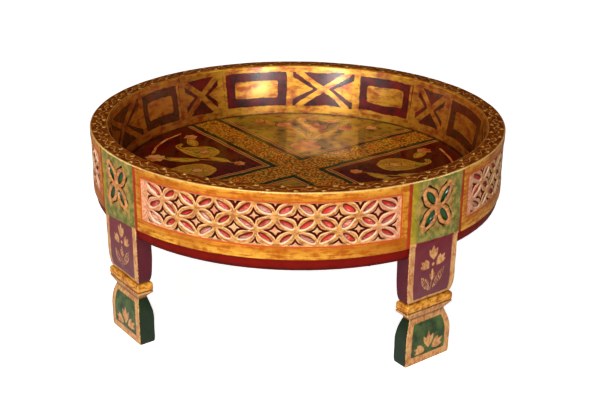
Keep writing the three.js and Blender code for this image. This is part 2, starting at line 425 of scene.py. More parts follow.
def cross_panel(x, y, half_x, half_y, margin=cross_margin):
    """How far inside the gold a point lies in a panel with a cross: its arms, its side wedges
    and a margin at both ends."""
    reach_x = half_x * cross_spread_share
    arms = cross_arm / 2 - np.minimum(
        line_distance(x, y, (-reach_x, -half_y), (reach_x, half_y)),
        line_distance(x, y, (-reach_x, half_y), (reach_x, -half_y)),
    )
    slant = half_y / reach_x
    wedge_tip = (cross_arm / 2 + cross_outline) * math.hypot(1, 1 / slant)
    slant = slant * wedge_slant_share
    wedge = ((np.abs(x) - wedge_tip) * slant - np.abs(y)) / math.hypot(slant, 1)
    return np.maximum.reduce([arms, wedge, margin - half_x + np.abs(x)])


def wide_cross_panel(x, y, half_x, half_y):
    return cross_panel(x, y, half_x, half_y, wide_cross_margin)


def oblong_panel(x, y, half_x, half_y):
    """How far inside the gold a point lies in a panel with an oblong of rounded corners."""
    half_x = half_x * (1 - 2 * oblong_side_share) - oblong_round
    half_y = half_y * (1 - 2 * oblong_top_share) - oblong_round
    outside = np.hypot(np.maximum(np.abs(x) - half_x, 0), np.maximum(np.abs(y) - half_y, 0))
    inside = np.minimum(np.maximum(np.abs(x) - half_x, np.abs(y) - half_y), 0)
    return oblong_round - outside - inside


def wall_gold(x, share, span, panels):
    """How far inside the gold a point on the inside wall lies. x runs along the wall, share down
    it, span is the length of the piece, and panels holds the figure of each of its panels and
    the share of the length that the panel takes."""
    top = border_top_share * wall_height
    foot = (1 - border_foot_share) * wall_height
    down = share * rim_height
    gold = np.maximum(top - down, down - foot)
    start = -span / 2
    for figure, length_share in panels:
        width = span * length_share
        centre = start + width / 2
        half = (width - bar_width) / 2
        inside = figure(x - centre, down - (top + foot) / 2, half, (foot - top) / 2)
        here = np.maximum(inside, np.abs(x - centre) - half)
        gold = np.where(np.abs(x - centre) < width / 2, np.maximum(gold, here), gold)
        start += width
    return gold


def rim_rows():
    """The rim's section as rows, from its outer foot up, over the top and down the inside: the
    radius, height and outward direction of each, the side it is on and its place across that."""
    rows = []
    outer_steps = round((rim_height - rim_arris) / carving_step)
    for height in np.linspace(0, rim_height - rim_arris, outer_steps + 1):
        rows.append((rim_radius, height, 1, 0, "outside", height))
    for angle in np.linspace(0, math.pi / 2, round_points)[1:-1]:
        out, up = math.cos(angle), math.sin(angle)
        height = rim_height - rim_arris * (1 - up)
        rows.append((rim_radius - rim_arris * (1 - out), height, out, up, "outside", height))
    inner_top = rim_radius - rim_top_width
    top_steps = round((rim_top_width - 2 * rim_arris) / carving_step)
    for radius in np.linspace(rim_radius - rim_arris, inner_top + rim_arris, top_steps + 1):
        rows.append((radius, rim_height, 0, 1, "top", radius - rim_radius + rim_top_width / 2))
    for angle in np.linspace(math.pi / 2, 0, round_points)[1:-1]:
        out, up = -math.cos(angle), math.sin(angle)
        height = rim_height - rim_arris * (1 - up)
        rows.append((inner_top + rim_arris * (1 + out), height, out, up, "inside", 0))
    wall_lean = math.atan2(rim_foot_width - rim_top_width, rim_height)
    inner_steps = round(rim_height / painting_step)
    for share in np.linspace(rim_arris / rim_height, 1, inner_steps):
        radius = inner_top - (rim_foot_width - rim_top_width) * share
        out, up = -math.cos(wall_lean), math.sin(wall_lean)
        rows.append((radius, rim_height * (1 - share), out, up, "inside", share))
    for share in (0.67, 0.33):
        rows.append((rim_radius - rim_foot_width * share, 0, 0, -1, "under", share))
    return rows


def hollows(depth, reach):
    """How much deeper each point is than its surroundings, for the dirt that gathers there."""
    spread_out = depth.copy()
    for axis in (0, 1):
        for _ in range(3):
            total = sum(np.roll(spread_out, shift, axis) for shift in range(-reach, reach + 1))
            spread_out = total / (2 * reach + 1)
    return depth - spread_out


def finished_piece(name, places, faces, masks, finishes, finish_numbers):
    """Makes one piece from its points in millimetres and its faces, with smooth faces between
    sharp edges, and keeps the masks as attributes for the paint to read."""
    mesh = bpy.data.meshes.new(name)
    mesh.from_pydata((places * MM).tolist(), [], faces)
    for mask_name, values in masks.items():
        values = np.ascontiguousarray(values, np.float32)
        mesh.attributes.new(mask_name, "FLOAT", "POINT").data.foreach_set("value", values)
    for finish in finishes:
        mesh.materials.append(finish)
    mesh.polygons.foreach_set("material_index", finish_numbers)
    mesh.shade_smooth()
    mesh.set_sharp_from_angle(angle=math.radians(sharp_degrees))
    return placed(name, mesh)


def piece_from_grids(name, grids, finishes):
    """Joins closed grids of points into one piece. A grid closes on itself over its rows or its
    columns and has a cap on both open ends. Its finish numbers go by row."""
    places, faces, finish_numbers = [], [], []
    total = sum(grid["points"].shape[0] * grid["points"].shape[1] for grid in grids)
    masks = {name: np.zeros(total, np.float32) for grid in grids for name in grid["masks"]}
    start = 0
    for grid in grids:
        rows, columns = grid["points"].shape[:2]
        number = np.arange(rows * columns).reshape(rows, columns) + start
        if grid["closes"] == "rows":
            number = np.vstack([number, number[:1]])
            caps = [number[:-1, 0].tolist(), number[:-1, -1][::-1].tolist()]
        else:
            number = np.hstack([number, number[:, :1]])
            caps = [number[0, :-1][::-1].tolist(), number[-1, :-1].tolist()]
        quads = np.stack([number[:-1, :-1], number[:-1, 1:], number[1:, 1:], number[1:, :-1]], -1)
        faces += quads.reshape(-1, 4).tolist() + caps
        by_row = np.repeat(grid["finishes"][: len(number) - 1], number.shape[1] - 1)
        finish_numbers += by_row.tolist() + [grid["cap_finish"]] * 2
        places.append(grid["points"].reshape(-1, 3))
        for mask_name, values in grid["masks"].items():
            masks[mask_name][start : start + rows * columns] = values.reshape(-1)
        start += rows * columns
    return finished_piece(name, np.concatenate(places), faces, masks, finishes, finish_numbers)


rim_section = rim_rows()
row_radius, row_height, row_out, row_up = (
    np.array([row[part] for row in rim_section], float)[:, None] for part in range(4)
)
row_side = np.array([row[4] for row in rim_section])
row_place = np.array([row[5] for row in rim_section], float)[:, None]
finish_sides = ["outside", "top", "inside", "under"]
rim_finish_numbers = [finish_sides.index(side) for side in row_side]
arris_reach = np.minimum(
    np.hypot(rim_radius - row_radius, rim_height - row_height),
    np.hypot(rim_radius - rim_top_width - row_radius, rim_height - row_height),
)


def rim_grid(centre_angle, half_offset, columns, carve_outside, panels, seed):
    """A stretch of the rim as a closed grid, centred on an angle. Its ends are level with the
    sides of the legs, half_offset gives its half angle for a radius, and carve_outside gives
    the depth and the masks of its outside. seed starts its grain and its unevenness."""
    half_angle = half_offset(row_radius)
    share = np.linspace(-1, 1, columns)[None, :]
    angle = half_angle * share
    along = angle * row_radius
    full = np.zeros(angle.shape)
    masks = {name: full.copy() for name in ("panel", "ring", "tint", "gold", "carved", "worn")}
    masks["end"] = (half_angle - np.abs(angle)) * row_radius
    depth = full.copy()
    outside, top, inside = (row_side == side for side in ("outside", "top", "inside"))
    place_across = row_place + full
    depth[outside], carved = carve_outside(along[outside], place_across[outside], masks["end"][outside])
    for name, values in carved.items():
        masks[name][outside] = values
    gouge, masks["gold"][top] = gouged_vine(centre_angle + angle[top], place_across[top])
    fade = rim_top_width / 2 - rim_arris - np.abs(place_across[top])
    depth[top] = gouge * smooth(fade, 0, 1.2)
    wall_radius = rim_radius - (rim_top_width + rim_foot_width) / 2
    wall_place = angle[inside] * wall_radius
    uneven = ripple(wall_place, place_across[inside] * rim_height, 60, seed + 1) * figure_unevenness
    masks["gold"][inside] = wall_gold(
        wall_place + uneven,
        place_across[inside] + uneven / rim_height,
        2 * float(half_offset(wall_radius)) * wall_radius,
        panels,
    )
    masks["hollow"] = hollows(depth, hollow_reach)
    # How steeply the carving faces up or down, which sets its painted highlights and painted shade
    masks["lift"] = np.gradient(depth, carving_step, axis=0)
    masks["rub"] = ridge(arris_reach, rub_width) + full
    masks["foot"] = row_height + full
    masks["along"] = along + seed * grain_apart
    masks["across"] = np.where((row_side == "inside")[:, None], row_place * rim_height, row_place) + full
    paint = paint_depth + paint_unevenness * ripple(along, row_height + row_radius, 45, seed)
    depth = depth + np.maximum(paint, 0)
    away = centre_angle + angle
    radius = row_radius - row_out * depth
    height = rim_base + row_height - row_up * depth + full
    return {
        "points": np.stack([radius * np.cos(away), radius * np.sin(away), height], -1),
        "masks": masks,
        "finishes": rim_finish_numbers,
        "cap_finish": finish_sides.index("under"),
        "closes": "rows",
    }


def carve_lattice(x, height, end):
    """Depth and masks of the lattice panel on a segment's outside."""
    half_length = (x.max() - x.min()) / 2 - frame_side
    panel_height = rim_height - frame_foot - frame_top
    middle_height = frame_foot + panel_height / 2
    upright = panel_height / 2 - np.abs(height - middle_height)
    panel = np.minimum(end - frame_side, upright)
    moved_x = x + lattice_sway_along * ripple(x, height, 38, 31)
    moved_y = height + lattice_sway_up * ripple(x, height, 30, 32)
    cell_x = (2 * half_length - left_margin - right_margin) / lattice_columns
    cell_y = panel_height / lattice_rows
    from_left = moved_x + half_length - left_margin
    from_top = frame_foot + panel_height - moved_y
    ring = crossing_rings(from_left, from_top, cell_x, cell_y, petal_length + 2 * strap_half)
    uneven = ripple(x, height, 20, 33) * strap_unevenness
    to_margin = np.where(x > 0, right_margin, left_margin)
    carved = smooth(np.minimum(end - frame_side - to_margin, upright - 0.7), 0, 1.2)
    deeper = 1 + depth_unevenness_share * ripple(x, height, 19, 34)
    depth = carved_rings(ring, strap_half + uneven, star_heart) * deeper * carved
    depth = depth + panel_drop * smooth(panel, -0.5, 0.7)
    lines = panel_line_depth * ridge(panel + frame_line, 0.5)
    lines = lines + end_line_depth * ridge(end - end_line, 0.5)
    masks = {
        "panel": panel,
        "ring": ring - np.sign(ring) * uneven,
        "tint": chance(np.floor(from_left / cell_x), np.floor(from_top / cell_y), 5),
        "carved": carved,
        # The gold foot band darkens towards the segment's right end: painted shade
        "worn": smooth(x, foot_shade_from, foot_shade_to) * smooth(frame_foot - height, -2, 5),
    }
    return depth + lines, masks


def times(tree, first, second):
    return sums(tree, "MULTIPLY", first, second)


def less(tree, first, second):
    return sums(tree, "SUBTRACT", first, second)


def scaled(tree, value, factor, rest):
    """A value times a factor, and the rest added."""
    return sums(tree, "MULTIPLY_ADD", value, factor, rest)


def inverse(tree, share):
    return less(tree, 1.0, share)


def step(tree, value, low, high):
    """0 where value is below low, 1 where it is above high, and even between."""
    inputs = {"Value": value, "From Min": low, "From Max": high}
    return add(tree, "MapRange", inputs, interpolation_type="SMOOTHSTEP").outputs["Result"]


def mixed(tree, share, first, second):
    """Two colours mixed by share."""
    return add(tree, "Mix", {0: share, 6: first, 7: second}, data_type="RGBA").outputs[2]


def turned(tree, value, low, high, first, second):
    """The first colour where value is below low, turning into the second where it is above high."""
    return mixed(tree, step(tree, value, low, high), first, second)


def mask(tree, name):
    """A mask that the mesh carries."""
    return add(tree, "Attribute", attribute_name=name).outputs["Fac"]


def body_place(tree):
    """The place on the table, in millimetres."""
    place_on_body = add(tree, "TexCoord").outputs["Object"]
    return add(tree, "VectorMath", {0: place_on_body, "Scale": 1 / MM}, operation="SCALE").outputs[0]


def body_axis(tree, axis):
    """How far along X, Y or Z a point lies on the table, in millimetres."""
    return add(tree, "SeparateXYZ", {0: body_place(tree)}).outputs[axis]


def cloud(tree, size, detail=3.0, roughness=0.55, where=None):
    """Soft random patches about size across, from 0 to 1, over the table unless where is given."""
    where = body_place(tree) if where is None else where
    inputs = {"Vector": where, "Scale": 1 / size, "Detail": detail, "Roughness": roughness}
    return add(tree, "TexNoise", inputs).outputs["Fac"]


def effect(name, inputs, outputs):
    """An empty shader node group with its named inputs and outputs. An input's kind follows from
    its plain value: a number, or a colour of four."""
    tree = bpy.data.node_groups.new(name, "ShaderNodeTree")
    for label, value in inputs.items():
        kind = "Color" if isinstance(value, tuple) else "Float"
        socket = tree.interface.new_socket(label, in_out="INPUT", socket_type="NodeSocket" + kind)
        socket.default_value = value
    for label, kind in outputs.items():
        tree.interface.new_socket(label, in_out="OUTPUT", socket_type="NodeSocket" + kind)
    return tree, tree.nodes.new("NodeGroupInput").outputs, tree.nodes.new("NodeGroupOutput").inputs


def use(tree, group, **inputs):
    """Places an effect in a material or in another effect, and gives back its outputs."""
    made = tree.nodes.new("ShaderNodeGroup")
    made.node_tree = group
    feed(tree, made, {name.replace("_", " ").capitalize(): value for name, value in inputs.items()})
    return made.outputs


# Brush marks: long streaks along the piece and a fine grain of pigment
brush_marks, given, result = effect(
    "brush_marks",
    {"Along": 0.0, "Across": 0.0, "Length": 30.0, "Width": 1.6},
    {"Streak": "Float", "Patch": "Float", "Grain": "Float"},
)
streak_axes = {
    "X": sums(brush_marks, "DIVIDE", given["Along"], given["Length"]),
    "Y": sums(brush_marks, "DIVIDE", given["Across"], given["Width"]),
}
streak_place = add(brush_marks, "CombineXYZ", streak_axes).outputs[0]
brush_marks.links.new(cloud(brush_marks, 1.0, 4.0, 0.6, streak_place), result["Streak"])
brush_marks.links.new(cloud(brush_marks, 16.0, 3.0, 0.6), result["Patch"])
brush_marks.links.new(cloud(brush_marks, 0.9, 2.0, 0.7), result["Grain"])

# A painted edge: a distance turned into a mask, with the shake of the hand and the brush
painted_edge, given, result = effect(
    "painted_edge",
    {"Distance": 0.0, "Shake": 0.5, "Shake size": 5.0, "Softness": 0.3},
    {"Mask": "Float"},
)
shake_inputs = {
    "Vector": body_place(painted_edge),
    "Scale": sums(painted_edge, "DIVIDE", 1.0, given["Shake size"]),
    "Detail": 3.0,
}
shake = less(painted_edge, add(painted_edge, "TexNoise", shake_inputs).outputs["Fac"], 0.5)
moved = scaled(painted_edge, times(painted_edge, shake, given["Shake"]), 4.0, given["Distance"])
softly = sums(painted_edge, "DIVIDE", moved, given["Softness"])
painted_edge.links.new(step(painted_edge, softly, -1.0, 1.0), result["Mask"])


def hand_edge(tree, distance, **settings):
    """How much of a point is painted, where distance says how far inside the figure it lies."""
    return use(tree, painted_edge, distance=distance, **settings)["Mask"]


# Old gold paint: bright powder gold in mottled dabs over orange and a rust-red ground
old_gold, given, result = effect(
    "old_gold",
    {
        "Along": 0.0,
        "Across": 0.0,
        "Light": bright_gold,
        "Deep": warm_gold,
        "Ground": rust_red,
        "Thinness": 0.3,
        "Stroke": 20.0,
    },
    {"Colour": "Color", "Height": "Float"},
)
run = {"along": given["Along"], "across": given["Across"]}
marks = use(old_gold, brush_marks, **run, length=given["Stroke"], width=4.0)
tone = scaled(old_gold, marks["Streak"], 0.9, times(old_gold, marks["Patch"], 0.5))
tone = scaled(old_gold, cloud(old_gold, 7.0, 3.0, 0.6), 0.5, tone)
gold_colour = turned(old_gold, tone, 0.78, 1.08, given["Deep"], given["Light"])
cover = scaled(old_gold, marks["Grain"], 0.5, marks["Streak"])
bare = times(old_gold, inverse(old_gold, step(old_gold, cover, 0.5, 0.76)), given["Thinness"])
old_gold.links.new(mixed(old_gold, bare, gold_colour, given["Ground"]), result["Colour"])
old_gold.links.new(sums(old_gold, "ADD", tone, marks["Grain"]), result["Height"])


def shades(light, deep, ground):
    """The three colours that old gold paint takes, each given from 0 to 255."""
    return {"light": painted(*light), "deep": painted(*deep), "ground": painted(*ground)}


# Age: dirt settled in the hollows, and paint rubbed through to a paler one along the edges
age, given, result = effect(
    "age",
    {
        "Colour": warm_gold,
        "Hollow": 0.0,
        "Dirt": settled_brown,
        "Dirt amount": 0.5,
        "Rub": 0.0,
        "Rubbed": cream_gold,
    },
    {"Colour": "Color"},
)
grime = times(age, step(age, given["Hollow"], 0.0, 1.1), given["Dirt amount"])
grime = times(age, grime, sums(age, "ADD", cloud(age, 6.0), 0.5))
dirtied = mixed(age, grime, given["Colour"], given["Dirt"])
worn_through = step(age, scaled(age, cloud(age, 2.5), 0.9, given["Rub"]), 1.0, 1.25)
age.links.new(mixed(age, worn_through, dirtied, given["Rubbed"]), result["Colour"])


def finish_of(
    name, colours, roughness, coat, coat_roughness, metallic=0.0, relief=0.12, shine=0.15, gloss=1.5
):
    """A material whose colour and small relief come from colours, under a coat of varnish. Where
    colours also gives a share of gold or of varnish, only that share is metallic or varnished."""
    material = bpy.data.materials.new(name)
    material.use_nodes = True
    tree = material.node_tree
    parts = colours(tree)
    bump = add(tree, "Bump", {"Height": parts["height"], "Distance": relief * MM, "Strength": 1.0})
    inputs = {
        "Base Color": parts["colour"],
        "Normal": bump.outputs[0],
        "Roughness": scaled(tree, cloud(tree, 3.0), 0.2, roughness - 0.1),
        "Metallic": times(tree, parts["gold"], metallic) if "gold" in parts else metallic,
        "Coat Weight": times(tree, parts["varnish"], coat) if "varnish" in parts else coat,
        "Coat Roughness": coat_roughness,
        "Coat IOR": gloss,
        "Specular IOR Level": shine,
    }
    feed(tree, tree.nodes["Principled BSDF"], inputs)
    return material


def run_masks(tree):
    """Where a point lies along and across its piece."""
    return {"along": mask(tree, "along"), "across": mask(tree, "across")}


def wear_masks(tree):
    """Where dirt has settled on the piece, and where its paint is rubbed."""
    return {"hollow": mask(tree, "hollow"), "rub": mask(tree, "rub")}


def near_line(tree, distance, place, half):
    """How far inside a line of a given half width a point lies, where distance reaches place."""
    return less(tree, half, sums(tree, "ABSOLUTE", less(tree, distance, place)))


def lattice_colours(tree):
    """Tan and cream straps over red and pink in a mottled gold frame with red lines; painted highlights
    and shade.
    """
    run = run_masks(tree)
    panel = mask(tree, "panel")
    end = mask(tree, "end")
    carved = mask(tree, "carved")
    marks = use(tree, brush_marks, **run, length=9.0, width=1.2)
    towards_panel = step(tree, scaled(tree, marks["Patch"], 8.0, panel), -10.0, 2.0)
    light = mixed(tree, towards_panel, painted(242, 178, 64), painted(216, 136, 40))
    frame_gold = use(tree, old_gold, **run, light=light, deep=amber_gold, thinness=0.35, stroke=26.0)
    line = near_line(tree, panel, -frame_line / 2, frame_line / 2)
    line = sums(tree, "MAXIMUM", line, less(tree, end_line, end))
    red = hand_edge(tree, line, shake=0.6, shake_size=6.0, softness=0.8)
    line_shade = mixed(tree, marks["Streak"], line_red, painted(208, 100, 46))
    end_shade = mixed(tree, marks["Patch"], painted(120, 24, 8), painted(206, 72, 30))
    line_shade = turned(tree, end, end_line + 2.0, end_line + 1.0, line_shade, end_shade)
    # Random duller patches in the frame's gold, and painted shade on its foot band towards the right end
    dark_patch_and_shade = times(tree, step(tree, cloud(tree, 55.0, 2.0), 0.48, 0.66), 0.5)
    dark_patch_and_shade = sums(tree, "MAXIMUM", dark_patch_and_shade, times(tree, mask(tree, "worn"), 0.8))
    frame_colour = mixed(tree, dark_patch_and_shade, frame_gold["Colour"], painted(176, 86, 12))
    frame_colour = mixed(tree, red, frame_colour, line_shade)

    near_end = inverse(tree, step(tree, end, pale_end, pale_end_stop))
    ring = mask(tree, "ring")
    strap_shades = shades((224, 164, 92), (172, 106, 46), (140, 56, 28))
    strap = use(tree, old_gold, **run, **strap_shades, thinness=0.5, stroke=8.0)["Colour"]
    strap = mixed(tree, times(tree, near_end, 0.55), strap, painted(226, 148, 118))
    ruddy = step(tree, cloud(tree, 3.5, 4.0, 0.7), 0.5, 0.64)
    strap = mixed(tree, times(tree, ruddy, 0.6), strap, painted(190, 92, 52))
    strap_edge = mixed(tree, near_end, painted(242, 196, 134), painted(236, 172, 136))
    off_middle = less(tree, sums(tree, "ABSOLUTE", ring), strap_edge_middle)
    off_middle = scaled(tree, near_end, -0.5, sums(tree, "ABSOLUTE", off_middle))
    ragged = scaled(tree, cloud(tree, 4.0, 3.0, 0.7), 3.6, off_middle)
    lift = mask(tree, "lift")
    # Cream paint on the straps' edges, left off where the carving faces down, so partly a painted
    # highlight
    edge_share = inverse(tree, step(tree, ragged, 1.9, 2.9))
    edge_share = times(tree, edge_share, step(tree, lift, -0.6, 0.1))
    colour = mixed(tree, edge_share, strap, strap_edge)
    in_patch = step(tree, marks["Patch"], 0.36, 0.6)
    heart = mixed(tree, in_patch, painted(214, 136, 100), painted(222, 174, 116))
    heart_share = step(tree, ring, strap_half + star_inset + 0.5, strap_half + star_inset + 1.5)
    colour = mixed(tree, times(tree, heart_share, carved), colour, heart)

    # The pink petals, chosen at random by cell, and the pale streaks in them are painted reflection
    pinkness = scaled(tree, mask(tree, "tint"), 0.7, -1.12)
    pinkness = scaled(tree, marks["Patch"], 1.6, pinkness)
    petal = turned(tree, pinkness, 0.0, 0.5, petal_red, petal_pink)
    petal_sheen = step(tree, scaled(tree, pinkness, 0.35, marks["Streak"]), 0.6, 0.72)
    petal = mixed(tree, petal_sheen, petal, painted(255, 206, 180))
    petal_inside = less(tree, times(tree, ring, -1.0), strap_half + 0.5)
    petal_share = times(tree, hand_edge(tree, petal_inside, shake=0.25, softness=0.4), carved)
    # A dark red line just inside each petal's edge: painted shade
    petal_edge_shade = step(tree, near_line(tree, petal_inside, 0.2, 1.0), 0.0, 0.6)
    petal = mixed(tree, times(tree, petal_edge_shade, 0.9), petal, groove_red)
    colour = mixed(tree, petal_share, colour, petal)

    # Painted shade where the carving faces down, painted highlights where it faces up, and painted
    # glints among them
    faces_down_shade = times(tree, step(tree, lift, -0.15, -0.6), carved)
    colour = mixed(tree, times(tree, faces_down_shade, 0.85), colour, groove_red)
    faces_up_highlight = step(tree, scaled(tree, cloud(tree, 3.0), 1.4, lift), 0.9, 1.6)
    faces_up_highlight = times(tree, faces_up_highlight, step(tree, marks["Patch"], 0.3, 0.5))
    less_in_petals = scaled(tree, petal_share, -0.5, 0.8)
    faces_up_highlight = times(tree, times(tree, faces_up_highlight, carved), less_in_petals)
    colour = mixed(tree, faces_up_highlight, colour, painted(255, 220, 186))
    glint = times(tree, step(tree, cloud(tree, 1.8, 2.0, 0.7), 0.6, 0.66), faces_up_highlight)
    colour = mixed(tree, times(tree, glint, 1.2), colour, painted(255, 246, 232))
    # Dark red in the cuts round the stars: painted shade
    star_cut_shade = step(tree, near_line(tree, ring, strap_half + star_inset + star_cut, 1.9), 0.0, 0.5)
    colour = mixed(tree, times(tree, star_cut_shade, carved), colour, groove_red)
    inside = hand_edge(tree, panel, shake=0.1)
    colour = mixed(tree, inside, frame_colour, colour)
    aged = use(tree, age, colour=colour, **wear_masks(tree), dirt=groove_red, dirt_amount=0.5)
    return {
        "colour": aged["Colour"],
        "height": frame_gold["Height"],
        "gold": inverse(tree, sums(tree, "MAXIMUM", inside, red)),
        "varnish": times(tree, carved, step(tree, petal_inside, 0.8, 2.0)),
    }


def vine_colours(tree):
    """Pale gold in the gouges, dark brown on the ground between them, and gold arrises."""
    run = run_masks(tree)
    ground_shades = shades((156, 74, 10), (102, 34, 2), (56, 12, 2))
    leaf_shades = {"light": painted(255, 212, 116), "deep": painted(226, 146, 42)}
    ground = use(tree, old_gold, **run, **ground_shades, thinness=0.8)
    leaf = use(tree, old_gold, **run, **leaf_shades, thinness=0.2)
    leaf_share = hand_edge(tree, mask(tree, "gold"), shake=0.2, softness=0.35)
    colour = mixed(tree, leaf_share, ground["Colour"], leaf["Colour"])
    outward = step(tree, run["across"], 0.0, 4.0)
    arris = times(tree, step(tree, mask(tree, "rub"), 0.25, 0.7), outward)
    edge_gold = mixed(tree, ground["Height"], painted(214, 134, 44), painted(250, 206, 116))
    colour = mixed(tree, arris, colour, edge_gold)
    return {"colour": colour, "height": ground["Height"], "gold": leaf_share}


def wall_colours(tree):
    """Gold figures with rough edges on deep maroon, both with painted shade at the table's sides."""
    marks = use(tree, brush_marks, **run_masks(tree), length=26.0, width=9.0)
    worn = scaled(tree, marks["Streak"], 0.6, times(tree, marks["Patch"], 0.4))
    gold = turned(tree, worn, 0.38, 0.58, painted(190, 80, 4), painted(255, 186, 48))
    # Darker gold and maroon on the side walls: painted shade
    sideways = sums(tree, "ABSOLUTE", body_axis(tree, "X"))
    side_shade = step(tree, sideways, side_shade_start, side_shade_full)
    gold = mixed(tree, times(tree, side_shade, 0.42), gold, painted(116, 30, 2))
    maroon = turned(tree, marks["Patch"], 0.35, 0.7, dark_maroon, old_maroon)
    maroon = mixed(tree, times(tree, side_shade, 0.6), maroon, painted(34, 0, 0))
    gold_share = hand_edge(tree, mask(tree, "gold"), shake=0.7, shake_size=7.0)
    rub = mask(tree, "rub")
    aged = use(
        tree,
        age,
        colour=mixed(tree, gold_share, maroon, gold),
        hollow=inverse(tree, step(tree, less(tree, mask(tree, "foot"), floor_level), 0.0, 2.0)),
        dirt_amount=0.7,
        rub=rub,
        rubbed=painted(150, 84, 26),
    )
    on_wall = inverse(tree, step(tree, rub, 0.1, 0.5))
    return {
        "colour": aged["Colour"],
        "height": sums(tree, "ADD", marks["Streak"], gold_share),
        "gold": times(tree, gold_share, on_wall),
        "varnish": on_wall,
    }


def underside_colours(tree):
    """A thin wash of red on bare wood, where nobody looks."""
    marks = use(tree, brush_marks, **run_masks(tree), length=60.0)
    colour = mixed(tree, marks["Streak"], painted(96, 34, 24), painted(140, 84, 50))
    return {"colour": colour, "height": marks["Streak"]}


lattice_finish = finish_of(
    "carved_lattice",
    lattice_colours,
    roughness=0.42,
    coat=0.7,
    coat_roughness=0.12,
    metallic=0.3,
    shine=0.08,
)
vine_finish = finish_of(
    "gouged_vine", vine_colours, roughness=0.45, coat=0.05, coat_roughness=0.2, metallic=0.4, shine=0.05
)
wall_finish = finish_of(
    "painted_wall",
    wall_colours,
    roughness=0.4,
    coat=1.0,
    coat_roughness=0.25,
    metallic=0.85,
    relief=0.3,
    shine=0.05,
    gloss=1.65,
)
under_finish = finish_of(
    "red_washed_wood", underside_colours, roughness=0.7, coat=0.0, coat_roughness=0.3
)
rim_finishes = [lattice_finish, vine_finish, wall_finish, under_finish]

# The figures on the inside of each segment, and the share of its length that each takes
wall_panels = {
    "back": [(oblong_panel, 0.31), (wide_cross_panel, 0.35), (oblong_panel, 0.34)],
    "left": [(oblong_panel, 0.27), (wide_cross_panel, 0.4), (oblong_panel, 0.33)],
    "right": [(oblong_panel, 0.31), (wide_cross_panel, 0.34), (oblong_panel, 0.35)],
}
even_panels = [(oblong_panel, 0.32), (wide_cross_panel, 0.36), (oblong_panel, 0.32)]


def segment_half_angle(radius):
    """Half the angle of a segment, whose ends keep a joint's gap off the legs' sides."""
    return math.pi / 4 - np.arcsin((leg_width / 2 + joint_gap) / radius)


segment_length = 2 * float(segment_half_angle(rim_radius)) * rim_radius
segment_columns = round(segment_length / carving_step)
for seed, (side, degrees) in enumerate(sides.items()):
    grid = rim_grid(
        math.radians(degrees),
        segment_half_angle,
        segment_columns,
        carve_lattice,
        wall_panels.get(side, even_panels),
        seed + 1,
    )
    segment = piece_from_grids("carved_rim_segment_" + side, [grid], rim_finishes)
    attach(segment, "root")
    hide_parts("rim_segment_" + side)

# Legs
# Each leg is one post: a block as high as the rim, carved with a green flower of four petals,
# and below it a flat shaped leg with a collar and a swelling foot, painted with gold sprigs.
legs = {"front_right": -45, "back_right": 45, "back_left": 135, "front_left": -135}
leg_across = {"base": 72.0, "foot": 75.0, "neck": 59.0, "collar": 76.0, "ankle": 66.0, "top": 80.0}
leg_through = {"base": 22.0, "foot": 23.0, "neck": 14.0, "collar": 23.0, "ankle": 14.0, "top": 22.0}
foot_round, foot_wall, foot_shoulder, neck_top = 8.0, 32.0, 63.0, 65.0
collar_foot, collar_top, roof_top, ankle_top = 72.0, 82.0, 87.0, 119.0
collar_groove = 75.5
collar_groove_width = 0.8
collar_groove_depth = 1.1
leg_middle = 266.0
leg_arris = 1.6
leg_painting_step = 1.3
sunk_in_block = 2.0
sunk_behind_block = 0.8
sprig_sway = 0.4
leg_paint_depth = 0.25
leg_paint_unevenness = 0.2
leg_finish_number = len(finish_sides)

# The flower on the block
flower_height = 45.5
flower_cell_across = 23.0
flower_cell_up = 26.5
flower_strap = 2.2
flower_petal_length = 23.4
flower_reach = 34.0
flower_spread = 1.5
flower_border = 8.0
flower_depth_share = 1.15
flower_sway = 0.5

# Where the green of the block ends, above the rim's foot, at the block's left and right side
green_foot = {"front_right": (5.0, 2.5), "front_left": (-7.5, 1.0)}
even_green_foot = (2.0, 2.0)

# Across the block, where its yellow side ends, and the heights between which the leg's maroon
# turns from purple to red
yellow_side = -29.0
yellow_side_stop = -20.0
purple_top = 120.0
red_foot = 180.0

# The panels on the leg's front
shin_border = 9.3
shin_foot = 92.0
foot_border = 9.6
foot_panel_low = 11.0
foot_panel_high = 57.0

# The gold sprigs: each bud and leaf has its foot, length, width and lean, from the leg's middle
# and the floor
shin_buds = [
    ((0.5, 139.5), 20.5, 9.5, 0.0),
    ((-5.5, 130.5), 17.5, 9.0, -0.9),
    ((6.5, 132.0), 18.0, 9.0, 0.8),
]
shin_leaves = [
    ((-3.5, 99.5), 25.5, 9.5, -0.6),
    ((2.5, 101.5), 30.5, 9.5, 0.6),
    ((0, 113), 11.0, 4.2, 0.45),
    ((0, 113), 11.0, 4.2, -0.45),
    ((0, 118), 11.0, 4.2, 0.0),
]
foot_buds = [
    ((0.5, 17.5), 25.0, 9.5, 0.0),
    ((-5.5, 15.5), 19.5, 9.0, -1.25),
    ((6.0, 16.5), 21.5, 9.0, 1.05),
]

block_yellow = painted(192, 152, 38)
petal_green = painted(20, 84, 8)
flower_dirt = painted(30, 34, 18)


